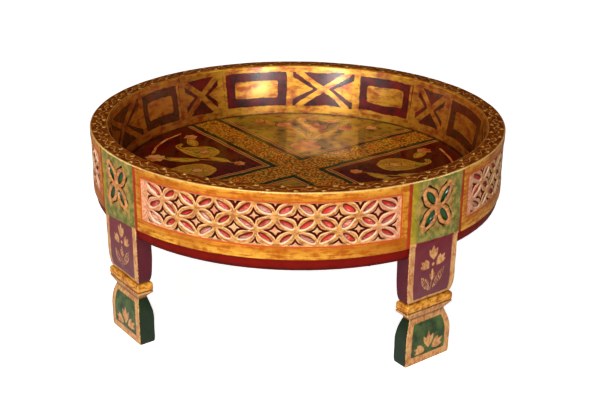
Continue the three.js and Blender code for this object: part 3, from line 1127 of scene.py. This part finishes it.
def carve_flower(x, height, end):
    """Depth and masks of the flower on a leg's block. It stays clear of the block's sides, so
    end, the distance to them, isn't needed."""
    up = height - flower_height
    moved_x = x + flower_sway * ripple(x, up, 24, 51)
    moved_up = up + flower_sway * ripple(x, up, 26, 52)
    ring = crossing_rings(
        moved_x,
        moved_up,
        flower_cell_across,
        flower_cell_up,
        flower_petal_length + 2 * flower_strap,
        flower_spread,
    )
    outward = np.abs(moved_x) / flower_cell_across + np.abs(moved_up) / flower_cell_up
    outward = outward * math.hypot(flower_cell_across, flower_cell_up) / 2
    within = flower_reach - outward
    carved = smooth(within, 0, 1.5)
    petals_only = np.where(ring > 0, 1.0, smooth(within, 2.0, 3.0))
    depth = carved_rings(ring, flower_strap, 0.0) * flower_depth_share * carved * petals_only
    return depth, {"panel": within, "ring": ring, "tint": x, "carved": carved}


def leg_maroon(tree, marks):
    """The maroon of a leg, redder near the block and more purple towards the collar."""
    height = scaled(tree, marks["Patch"], 40.0, body_axis(tree, "Z"))
    purple = mixed(tree, marks["Patch"], painted(92, 30, 42), painted(134, 68, 74))
    red = mixed(tree, marks["Patch"], painted(92, 16, 28), painted(140, 44, 54))
    return turned(tree, height, purple_top, red_foot, purple, red)


def leg_gold_paint(tree, run):
    """The pale gold of the legs' borders and sprigs."""
    leg_shades = shades((234, 176, 108), (200, 124, 72), (144, 70, 36))
    return use(tree, old_gold, **run, **leg_shades, thinness=0.3, stroke=9.0)


def block_ground(tree):
    """Mottled olive that turns ochre in places, and yellow down the left side of each block."""
    patches = cloud(tree, 9.0, 4.0, 0.65)
    ground = turned(tree, patches, 0.36, 0.66, painted(100, 102, 44), painted(160, 146, 70))
    rightness = scaled(tree, patches, 16.0, mask(tree, "tint"))
    yellow = turned(tree, patches, 0.4, 0.6, painted(150, 132, 30), block_yellow)
    return turned(tree, rightness, yellow_side, yellow_side_stop, yellow, ground), patches


def flower_colours(tree):
    """Glossy green petals between tan straps, on a mottled olive ground. Below the green the
    block is maroon between gold borders, as the leg is."""
    run = run_masks(tree)
    marks = use(tree, brush_marks, **run, length=14.0)
    ring = mask(tree, "ring")
    within = mask(tree, "panel")
    end = mask(tree, "end")
    ground, patches = block_ground(tree)
    upright = near_line(tree, mask(tree, "foot"), flower_height, rim_height / 2)
    inner = scaled(tree, patches, 20.0, sums(tree, "MINIMUM", end, upright))
    inner = step(tree, inner, flower_border + 8.0, flower_border + 20.0)
    tan = turned(tree, patches, 0.36, 0.66, painted(146, 108, 50), painted(202, 142, 76))
    ground = mixed(tree, times(tree, inner, 0.7), ground, tan)
    strap_shades = shades((224, 150, 88), (178, 104, 52), (112, 122, 70))
    strap = use(tree, old_gold, **run, **strap_shades, thinness=0.5, stroke=8.0)
    on_strap = less(tree, flower_strap + star_inset, sums(tree, "ABSOLUTE", ring))
    on_strap = sums(tree, "MINIMUM", on_strap, within)
    colour = mixed(tree, hand_edge(tree, on_strap, shake=0.5, softness=0.9), ground, strap["Colour"])
    petal = less(tree, times(tree, ring, -1.0), flower_strap + 0.2)
    petal = sums(tree, "MINIMUM", petal, less(tree, within, 2.2))
    petal = hand_edge(tree, petal, shake=0.15, softness=0.3)
    # Near-black green along each petal's edge, turning green further in: painted shade
    deep_in_petal = step(tree, ring, -flower_strap - 0.6, -flower_strap - 2.6)
    colour = mixed(tree, petal, colour, mixed(tree, deep_in_petal, painted(4, 26, 8), petal_green))
    # Dark in the cuts round the flower's stars: painted shade
    cut = step(tree, near_line(tree, ring, flower_strap + star_inset + star_cut, 1.3), 0.0, 0.6)
    cut = times(tree, times(tree, cut, step(tree, within, 1.0, 6.0)), mask(tree, "carved"))
    colour = mixed(tree, cut, colour, painted(24, 32, 16))
    border = hand_edge(tree, less(tree, shin_border, end), shake=0.35)
    leg_marks = use(tree, brush_marks, **run)
    below = mixed(tree, border, leg_maroon(tree, leg_marks), leg_gold_paint(tree, run)["Colour"])
    colour = mixed(tree, hand_edge(tree, mask(tree, "block"), shake=0.5, softness=0.5), below, colour)
    aged = use(tree, age, colour=colour, **wear_masks(tree), dirt=flower_dirt, dirt_amount=0.3)
    return {
        "colour": aged["Colour"],
        "height": sums(tree, "ADD", marks["Streak"], patches),
        "varnish": scaled(tree, petal, 0.6, 0.1),
    }


flower_finish = finish_of(
    "carved_flower", flower_colours, roughness=0.42, coat=1.0, coat_roughness=0.08, shine=0.08
)


def bend(start, knee, end, steps):
    """Points on a curve that leaves start towards knee and ends at end."""
    share = np.linspace(0, 1, steps + 1)[1:, None]
    start, knee, end = (np.array(point, float) for point in (start, knee, end))
    return ((1 - share) ** 2 * start + 2 * share * (1 - share) * knee + share**2 * end).tolist()


def straight(start, end, steps):
    share = np.linspace(0, 1, steps + 1)[1:, None]
    return (np.array(start, float) * (1 - share) + np.array(end, float) * share).tolist()


def leg_outline(size):
    """Half of the leg's outline from the floor up, as [half size, height]."""
    base, foot, neck, collar, ankle, top = (value / 2 for value in size.values())
    soft = 0.9
    points = [[base - 1.2, 0.0]]
    points += bend(points[-1], (foot, 0), (foot, foot_round), 8)
    points += straight(points[-1], (foot, foot_wall), 16)
    points += bend(points[-1], (foot, (foot_wall + foot_shoulder) / 2), (neck, foot_shoulder), 24)
    points += straight(points[-1], (neck, neck_top), 3)
    points += straight(points[-1], (collar - soft, collar_foot - soft / 2), 5)
    points += bend(points[-1], (collar, collar_foot), (collar, collar_foot + soft), 3)
    points += straight(points[-1], (collar, collar_top), 14)
    points += bend(points[-1], (collar, roof_top), (ankle, roof_top), 14)
    points += bend(points[-1], (top, roof_top), (top, ankle_top), 26)
    points += straight(points[-1], (top, rim_base + sunk_in_block), 38)
    return np.array(points)


outline_across = leg_outline(leg_across)
outline_through = leg_outline(leg_through)
leg_height = outline_across[:, 1][:, None]
half_across = outline_across[:, 0][:, None]
half_through = outline_through[:, 0][:, None]


def section_columns():
    """The places round the leg's section: for each, how far along its straight sides it lies, as
    shares, the direction of its rounded corner, and its distance past the front's edge."""
    quarter = math.pi / 2
    corner = np.linspace(0, quarter, round_points)
    past = quarter * leg_arris
    wide_steps = round(leg_width / leg_painting_step)
    narrow = np.linspace(1, -1, 13)
    columns = [(1, share, 0, 0) for share in np.linspace(-1, 1, wide_steps + 1)]
    columns += [(1, 1, lean, lean * leg_arris) for lean in corner[1:]]
    columns += [(share, 1, quarter, past + (1 - share) * 5) for share in narrow[1:]]
    columns += [(-1, 1, quarter + lean, 20) for lean in corner[1:]]
    columns += [(-1, share, 2 * quarter, 30) for share in np.linspace(1, -1, wide_steps // 2 + 1)[1:]]
    columns += [(-1, -1, 2 * quarter + lean, 20) for lean in corner[1:]]
    columns += [(share, -1, 3 * quarter, past + (1 - share) * 5) for share in narrow[::-1][1:]]
    columns += [(1, -1, 3 * quarter + lean, past - lean * leg_arris) for lean in corner[1:-1]]
    return [np.array(part, float)[None, :] for part in zip(*columns)]


through_share, across_share, corner_lean, past_front = section_columns()


def bud(x, y, foot, length, width, way):
    """How far inside a bud of three leaves on one foot a point lies."""
    leaves = [leaf_distance(x, y, foot, length, width * 0.8, way, 0.42)]
    for lean in (-0.4, 0.4):
        leaves.append(leaf_distance(x, y, foot, length * 0.85, width * 0.62, way + lean, 0.55))
    return np.maximum.reduce(leaves)


def sprig_buds(x, y, buds):
    """How far inside any of the buds a point lies. Each has its foot, length, width and lean."""
    return np.maximum.reduce([bud(x, y, *sizes) for sizes in buds])


def shin_sprig(x, y):
    """How far inside the gold of the tall sprig a point lies: buds, stem and hatched leaves."""
    buds = sprig_buds(x, y, shin_buds)
    heart = 2.1 - np.hypot(x - 0.5, y - 134.0)
    stem = 0.6 - line_distance(x, y, (0.5, 128), (-1.5, 98))
    leaves = np.maximum.reduce([leaf_distance(x, y, *leaf) for leaf in shin_leaves])
    veins = 0.5 - np.abs((y * 0.8 - np.abs(x) * 0.6) % 2.6 - 1.3)
    hatched = np.minimum(leaves, np.maximum(veins, 0.55 - np.abs(leaves - 0.5)))
    return np.maximum.reduce([buds, heart, stem, hatched])


def green_line(across, left, right):
    """The height above the rim's foot where the block's green ends: left at the left side of the
    leg, right at its right side, and even between."""
    return left + (right - left) * (across / leg_width + 0.5)


def lower_leg_grid(centre_angle, seed, green_ends):
    """The leg below its block as a closed grid."""
    through = through_share * (half_through - leg_arris) + leg_arris * np.cos(corner_lean)
    across = across_share * (half_across - leg_arris) + leg_arris * np.sin(corner_lean)
    height = leg_height + 0 * across
    front = past_front + 0 * across
    to_side = half_across - np.abs(across)
    shin = np.minimum(to_side - shin_border, height - shin_foot)
    foot = np.minimum.reduce([to_side - foot_border, height - foot_panel_low, foot_panel_high - height])
    panels = np.maximum(shin, foot)
    moved_across = across + sprig_sway * ripple(across, height, 20, seed + 5)
    moved_height = height + sprig_sway * ripple(across, height, 20, seed + 6)
    foot_sprig = sprig_buds(moved_across, moved_height, foot_buds)
    sprigs = np.maximum(shin_sprig(moved_across, moved_height), foot_sprig)
    gold = np.maximum(-panels, np.where(panels > 2, sprigs, -1))
    gold = np.where(front > 0, np.minimum(gold, 1.2 - front), gold)
    collar = np.minimum(height - foot_shoulder - 0.5, roof_top + 1.5 - height)
    gold = np.maximum(gold, collar)
    on_edge = np.minimum(half_through - np.abs(through), 3) + np.minimum(to_side, 3)
    groove = ridge(height - collar_groove, collar_groove_width)
    dirt = 1.4 * groove + 0.8 * ridge(height - foot_shoulder - 1.2, 1.8)
    dirt = dirt + 0.8 * ridge(height - roof_top - 0.3, 1.2) + 0.5 * ridge(height, 3.0)
    below_green = height - rim_base - green_line(across, *green_ends)
    masks = {
        "gold": gold,
        "green": foot_shoulder - height,
        "block": below_green - 50 * smooth(front, 0, 1),
        "front": front,
        "tint": across,
        "collar": np.minimum(height - collar_groove, roof_top + 1.0 - height),
        "hollow": dirt,
        "rub": ridge(on_edge, 1.5),
        "along": height + seed * grain_apart,
        "across": across + through,
    }
    paint = leg_paint_depth + leg_paint_unevenness * ripple(across + through, height, 30, seed + 7)
    uneven = np.maximum(paint, 0) * smooth(height, 0, 4)
    uneven = uneven + sunk_behind_block * smooth(height, rim_base, rim_base + 1)
    uneven = uneven + collar_groove_depth * groove
    through = through - uneven * np.cos(corner_lean)
    across = across - uneven * np.sin(corner_lean)
    radius = leg_middle + through
    x = radius * math.cos(centre_angle) - across * math.sin(centre_angle)
    y = radius * math.sin(centre_angle) + across * math.cos(centre_angle)
    return {
        "points": np.stack([x, y, height], -1),
        "masks": masks,
        "finishes": [leg_finish_number] * len(height),
        "cap_finish": leg_finish_number,
        "closes": "columns",
    }


def leg_colours(tree):
    """Maroon above and green on the foot, with gold borders, collar and sprigs."""
    run = run_masks(tree)
    marks = use(tree, brush_marks, **run)
    gold = leg_gold_paint(tree, run)
    round_the_leg = {"along": run["across"], "across": run["along"]}
    collar_shades = shades((255, 180, 66), (196, 106, 22), (112, 52, 10))
    collar_gold = use(tree, old_gold, **round_the_leg, **collar_shades, thinness=0.7, stroke=7.0)
    collar = step(tree, mask(tree, "collar"), -0.3, 0.3)
    gold_colour = mixed(tree, collar, gold["Colour"], collar_gold["Colour"])
    off_front = step(tree, mask(tree, "front"), 0.0, 2.0)
    # The leg's sides and back take darker maroon and green than its front: painted shade
    side = mixed(tree, marks["Patch"], painted(70, 12, 24), painted(104, 26, 40))
    maroon = mixed(tree, off_front, leg_maroon(tree, marks), side)
    green = turned(tree, marks["Patch"], 0.3, 0.7, painted(34, 56, 28), painted(84, 104, 52))
    shaded_green = mixed(tree, marks["Patch"], painted(14, 32, 18), painted(42, 58, 34))
    green = mixed(tree, off_front, green, shaded_green)
    ground = turned(tree, mask(tree, "green"), -1.0, 1.0, maroon, green)
    gold_share = hand_edge(tree, mask(tree, "gold"), shake=0.3)
    colour = mixed(tree, gold_share, ground, gold_colour)
    block_share = hand_edge(tree, mask(tree, "block"), shake=0.5, softness=0.5)
    colour = mixed(tree, block_share, colour, block_ground(tree)[0])
    aged = use(
        tree,
        age,
        colour=colour,
        **wear_masks(tree),
        dirt=painted(64, 22, 8),
        dirt_amount=0.75,
        rubbed=painted(240, 186, 104),
    )
    return {"colour": aged["Colour"], "height": gold["Height"], "gold": gold_share}


leg_finish = finish_of(
    "painted_leg", leg_colours, roughness=0.42, coat=0.25, coat_roughness=0.2, metallic=0.25
)
leg_finishes = [flower_finish, vine_finish, wall_finish, under_finish, leg_finish]


def block_half_angle(radius):
    return np.arcsin(leg_width / 2 / radius)


block_columns = round(leg_width / carving_step)
block_panels = [(cross_panel, 1.0)]
for seed, (corner, degrees) in enumerate(legs.items()):
    angle = math.radians(degrees)
    green_ends = green_foot.get(corner, even_green_foot)
    block = rim_grid(angle, block_half_angle, block_columns, carve_flower, block_panels, seed + 11)
    masks = block["masks"]
    masks["block"] = masks["foot"] - green_line(masks["tint"], *green_ends)
    shin = lower_leg_grid(angle, seed + 21, green_ends)
    leg = piece_from_grids("carved_leg_" + corner, [block, shin], leg_finishes)
    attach(leg, "root")
    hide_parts("leg_" + corner)

# Tray floor
# One skin of ground, paint and thick varnish over the planks, inside the rim. Flowered bands run
# from leg to leg and part it into four fields, two maroon and two olive, each with its own plant.
floor_radius = 243.2
floor_points = 300
band_scatter = 20.0
band_green = 26.5
band_inner_line = 28.6
band_outer_line = 33.0
band_line_half = 0.95
flower_apart = 3.6
leaf_apart = 1.8
floor_edge_depth = 0.5
floor_unevenness = 0.06
floor_sway = 0.7

field_maroon = painted(104, 6, 0)
field_olive = painted(180, 132, 28)
leaf_gold = painted(255, 182, 50)
bloom_tan = painted(255, 170, 84)


def rosette(x, y, where, radius, petals):
    """How far inside an open flower a point lies."""
    reach = np.hypot(x - where[0], y - where[1])
    turn_round = np.arctan2(y - where[1], x - where[0])
    return radius * (0.74 + 0.26 * np.abs(np.cos(turn_round * petals / 2))) - reach


def curved_line(x, y, start, knee, end, half):
    """How far inside a curved line a point lies."""
    points = [start, *bend(start, knee, end, 7)]
    return half - np.minimum.reduce([line_distance(x, y, a, b) for a, b in zip(points, points[1:])])


def paisley(x, y, foot, size, side):
    """A fat leaf with a curled tip, its inner line and its heart."""
    x = (x - foot[0]) * side
    y = y - foot[1]
    body = leaf_distance(x, y, (0, 0), 58 * size, 40 * size, 0.18, 0.36)
    tip_places = [(8 * size, 44 * size), (12 * size, 62 * size), (25 * size, 56 * size)]
    tip = curved_line(x, y, *tip_places, 3.2 * size)
    line = np.minimum(np.abs(body - 5 * size), np.abs(body - 11 * size)) - 0.8
    heart = rosette(x, y, (4 * size, 21 * size), 7.5 * size, 6)
    return np.maximum(np.minimum(body, line), tip), heart


def maroon_field_plant(x, y):
    """Leaves and blooms of the two maroon fields; y grows away from the middle of the tray."""
    left, left_heart = paisley(x, y, (-34, 118), 1.15, -1)
    right, right_heart = paisley(x, y, (30, 108), 1.25, 1)
    leaves = [
        left,
        right,
        leaf_distance(x, y, (-4, 96), 46, 15, -0.45, 0.45),
        leaf_distance(x, y, (-4, 140), 52, 16, 0.1, 0.45),
        leaf_distance(x, y, (-60, 160), 44, 16, -1.1, 0.4),
        leaf_distance(x, y, (66, 160), 40, 15, 1.2, 0.4),
        curved_line(x, y, (-2, 88), (-14, 130), (-4, 196), 1.2),
    ]
    blooms = [
        left_heart,
        right_heart,
        rosette(x, y, (-2, 204), 15, 8),
        rosette(x, y, (-98, 176), 11, 6),
        rosette(x, y, (100, 172), 11, 6),
        rosette(x, y, (-2, 82), 9, 6),
        curved_line(x, y, (-110, 196), (-60, 222), (-20, 214), 2.6),
        curved_line(x, y, (110, 196), (60, 222), (20, 214), 2.6),
    ]
    return np.maximum.reduce(leaves), np.maximum.reduce(blooms)


def olive_field_plant(x, y):
    """The flowering plant in its pot of the two olive fields."""
    pot = np.minimum(leaf_distance(x, y, (0, 66), 52, 46, 0.0, 0.42), 112 - y)
    leaves = []
    blooms = [pot, oblong_distance(x, y - 113, 15, 2.6)]
    for side in (-1, 1):
        leaves.append(curved_line(x, y, (side * 3, 112), (side * 10, 150), (side * 46, 176), 1.4))
        leaves.append(curved_line(x, y, (side * 2, 112), (side * 4, 160), (side * 22, 204), 1.4))
        leaves.append(leaf_distance(x, y, (side * 14, 144), 32, 12, side * 1.25, 0.42))
        leaves.append(leaf_distance(x, y, (side * 9, 160), 26, 10, side * -0.1, 0.42))
        leaves.append(leaf_distance(x, y, (side * 62, 176), 34, 13, side * 0.8, 0.42))
        blooms.append(rosette(x, y, (side * 48, 180), 13, 8))
        blooms.append(rosette(x, y, (side * 24, 208), 10, 6))
        blooms.append(bud(x, y, (side * 78, 182), 26, 13, side * 0.9))
    leaves.append(curved_line(x, y, (0, 112), (2, 150), (0, 190), 1.6))
    blooms.append(bud(x, y, (0, 152), 52, 30, 0.0))
    return np.maximum.reduce(leaves), np.maximum.reduce(blooms)


def floor_mesh_parts():
    """The skin's points, faces and masks: a fine top, a low edge and a flat underside."""
    share = np.linspace(-1, 1, floor_points)
    square_x, square_y = np.meshgrid(share, share)
    x = floor_radius * square_x * np.sqrt(1 - square_y**2 / 2)
    y = floor_radius * square_y * np.sqrt(1 - square_x**2 / 2)
    to_edge = floor_radius - np.hypot(x, y)
    height = floor_level - floor_edge_depth * ridge(to_edge, 2.5)
    height = height + floor_unevenness * ripple(x, y, 70, 71)
    number = np.arange(floor_points**2).reshape(floor_points, floor_points)
    quads = np.stack([number[:-1, :-1], number[:-1, 1:], number[1:, 1:], number[1:, :-1]], -1)
    around = np.concatenate([number[0, :-1], number[:-1, -1], number[-1, :0:-1], number[:0:-1, 0]])
    below = np.arange(len(around)) + number.size
    skirt = np.stack([np.roll(around, -1), around, below, np.roll(below, -1)], -1)
    top = np.stack([x, y, rim_base + height], -1).reshape(-1, 3)
    foot = top[around] * [1, 1, 0] + [0, 0, rim_base + floor_level - floor_skin]
    faces = quads.reshape(-1, 4).tolist() + skirt.tolist() + [below[::-1].tolist()]
    shaken_x = x + floor_sway * ripple(x, y, 40, 72)
    shaken_y = y + floor_sway * ripple(x, y, 40, 73)
    first = np.abs(shaken_x - shaken_y) / math.sqrt(2)
    second = np.abs(shaken_x + shaken_y) / math.sqrt(2)
    sideways = np.abs(shaken_x) > np.abs(shaken_y)
    out = np.where(sideways, np.abs(shaken_x), np.abs(shaken_y))
    beside = np.where(sideways, shaken_y * np.sign(shaken_x), -shaken_x * np.sign(shaken_y))
    maroon_leaves, maroon_blooms = maroon_field_plant(beside, out)
    olive_leaves, olive_blooms = olive_field_plant(beside, out)
    masks = {
        "band": np.minimum(first, second),
        "sideways": np.abs(shaken_x) - np.abs(shaken_y),
        "leaf": np.where(sideways, maroon_leaves, olive_leaves),
        "bloom": np.where(sideways, maroon_blooms, olive_blooms),
        "edge": to_edge,
        "along": x,
        "across": y,
    }
    for name, values in masks.items():
        masks[name] = np.concatenate([values.reshape(-1), values.reshape(-1)[around]])
    return np.concatenate([top, foot]), faces, masks


def floor_colours(tree):
    """Bands of fine flowers with green stripes and tan lines, and plants in gold and tan."""
    marks = use(tree, brush_marks, **run_masks(tree), length=12.0)
    where = body_place(tree)
    flower_cells = {"Vector": where, "Scale": 1 / flower_apart, "Randomness": 0.9}
    cells = add(tree, "TexVoronoi", flower_cells).outputs
    small = add(tree, "TexVoronoi", {"Vector": where, "Scale": 1 / leaf_apart}).outputs
    flower_tint = add(tree, "SeparateColor", {0: cells["Color"]}).outputs[0]
    petals = mixed(tree, flower_tint, painted(255, 104, 4), painted(255, 180, 50))
    leaves = turned(tree, marks["Patch"], 0.4, 0.6, painted(110, 110, 8), painted(240, 130, 4))
    scatter = turned(tree, small["Distance"], 0.25, 0.6, leaves, painted(104, 50, 0))
    flowers = inverse(tree, step(tree, cells["Distance"], 0.34, 0.58))
    scatter = mixed(tree, times(tree, flowers, 0.95), scatter, petals)

    field = turned(tree, mask(tree, "sideways"), -0.4, 0.4, field_olive, field_maroon)
    field = turned(tree, marks["Patch"], 0.4, 0.75, field, painted(58, 20, 0))
    leaf = mask(tree, "leaf")
    leaf_shade = turned(tree, marks["Streak"], 0.3, 0.7, painted(206, 116, 14), leaf_gold)
    leaf_shade = turned(tree, marks["Patch"], 0.54, 0.64, leaf_shade, painted(150, 136, 34))
    vein = step(tree, near_line(tree, leaf, 2.6, 0.6), 0.0, 0.4)
    leaf_shade = mixed(tree, vein, leaf_shade, painted(112, 40, 8))
    field = mixed(tree, hand_edge(tree, leaf, shake=0.3), field, leaf_shade)
    bloom = mask(tree, "bloom")
    bloom_shade = turned(tree, marks["Patch"], 0.3, 0.7, painted(214, 84, 10), bloom_tan)
    field = mixed(tree, hand_edge(tree, bloom, shake=0.3), field, bloom_shade)
    bloom_line = step(tree, near_line(tree, bloom, 0.0, 0.8), 0.0, 0.5)
    field = mixed(tree, bloom_line, field, painted(60, 18, 10))

    band = mask(tree, "band")
    stripe = mixed(tree, marks["Patch"], painted(14, 34, 4), painted(50, 66, 12))
    colour = turned(tree, band, band_scatter - 0.5, band_scatter + 0.5, scatter, stripe)
    colour = turned(tree, band, band_green, band_green + 0.8, colour, painted(124, 70, 14))
    colour = turned(tree, band, band_outer_line - 0.3, band_outer_line + 0.3, colour, field)
    line_shade = mixed(tree, marks["Streak"], painted(206, 96, 26), painted(250, 160, 84))
    for place_on_band in (band_inner_line, band_outer_line):
        line = near_line(tree, band, place_on_band, band_line_half)
        line = hand_edge(tree, line, shake=0.25, shake_size=9.0, softness=0.5)
        colour = mixed(tree, line, colour, line_shade)
    hollow = inverse(tree, step(tree, mask(tree, "edge"), 0.0, 3.5))
    aged = use(tree, age, colour=colour, hollow=hollow, dirt_amount=0.9)
    return {"colour": aged["Colour"], "height": marks["Streak"]}


floor_finish = finish_of(
    "painted_floor", floor_colours, roughness=0.4, coat=1.0, coat_roughness=0.12, shine=0.05, gloss=1.6
)
floor_places, floor_faces, floor_masks = floor_mesh_parts()
floor_finish_numbers = [0] * len(floor_faces)
painting = finished_piece(
    "painted_tray_floor", floor_places, floor_faces, floor_masks, [floor_finish], floor_finish_numbers
)
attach(painting, "root")

# Planks
# Four planks laid side by side close the tray from below, nailed up into the rim. Their edge,
# which shows as a band under the carving, is painted a shiny red; below they are only washed.
plank_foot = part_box("tray_plank_1")[0].z / MM


def wood_grain(tree, stretch, size, detail, roughness):
    """Fine patches over the table, drawn out into grain where stretch is small."""
    stretched = {0: body_place(tree), 1: stretch}
    stretched = add(tree, "VectorMath", stretched, operation="MULTIPLY").outputs[0]
    return cloud(tree, size, detail, roughness, stretched)


def refinished(node, finish):
    """Gives a solid of the frame, which keeps its own mesh, its finish."""
    node.data.materials.clear()
    node.data.materials.append(finish)
    return node


def plank_colours(tree):
    """Shiny red on the upright edge, thin wash on the underside, grain along the planks."""
    grain = wood_grain(tree, (0.04, 1.0, 1.0), 2.2, 5.0, 0.6)
    patch = cloud(tree, 22.0)
    wash = mixed(tree, grain, painted(92, 40, 26), painted(150, 94, 58))
    red = mixed(tree, patch, painted(104, 8, 2), painted(136, 18, 6))
    # The red edge darkens towards its foot: painted shade
    above_foot = scaled(tree, patch, 6.0, body_axis(tree, "Z"))
    red = turned(tree, above_foot, plank_foot + 1.0, plank_foot + 13.0, painted(56, 6, 4), red)
    upright = add(tree, "SeparateXYZ", {0: add(tree, "NewGeometry").outputs["True Normal"]}).outputs["Z"]
    below = step(tree, sums(tree, "ABSOLUTE", upright), 0.75, 0.95)
    return {"colour": mixed(tree, below, red, wash), "height": grain}


plank_finish = finish_of(
    "painted_plank", plank_colours, roughness=0.5, coat=0.05, coat_roughness=0.25, relief=0.2, shine=0.05
)
for number in range(1, 5):
    refinished(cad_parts["tray_plank_%d" % number], plank_finish)

# Battens
# Two plain wooden bars with chamfered ends, nailed up into the planks from below. They cross the
# planks and hold them flat.
batten_bevel = 1.2


def batten_colours(tree):
    """Sawn wood, darkened by age, with its grain along the bar."""
    grain = wood_grain(tree, (1.0, 0.03, 1.0), 1.8, 6.0, 0.62)
    colour = mixed(tree, grain, painted(84, 54, 34), painted(150, 108, 70))
    colour = mixed(tree, times(tree, cloud(tree, 30.0), 0.6), colour, painted(60, 34, 22))
    return {"colour": colour, "height": grain}


batten_finish = finish_of(
    "batten_wood", batten_colours, roughness=0.72, coat=0.0, coat_roughness=0.3, relief=0.25
)
for side in ("left", "right"):
    batten = refinished(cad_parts["batten_" + side], batten_finish)
    bevel = batten.modifiers.new("worn_edges", "BEVEL")
    bevel.width = batten_bevel * MM
    bevel.segments = 2

# Nails
# Forged iron nails, driven from below: through the planks into the rim and the legs, and through
# the battens into the planks. Only their heads show, on the underside.


def iron_colours(tree):
    """Dark forged iron with rust in patches."""
    rust = step(tree, cloud(tree, 3.0, 4.0, 0.65), 0.48, 0.62)
    colour = mixed(tree, rust, painted(70, 64, 62), painted(112, 58, 34))
    return {"colour": colour, "height": cloud(tree, 0.8), "gold": inverse(tree, rust)}


iron_finish = finish_of(
    "forged_iron", iron_colours, roughness=0.5, coat=0.0, coat_roughness=0.3, metallic=0.8, relief=0.3
)
for name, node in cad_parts.items():
    if "_nail_" in name:
        refinished(node, iron_finish)
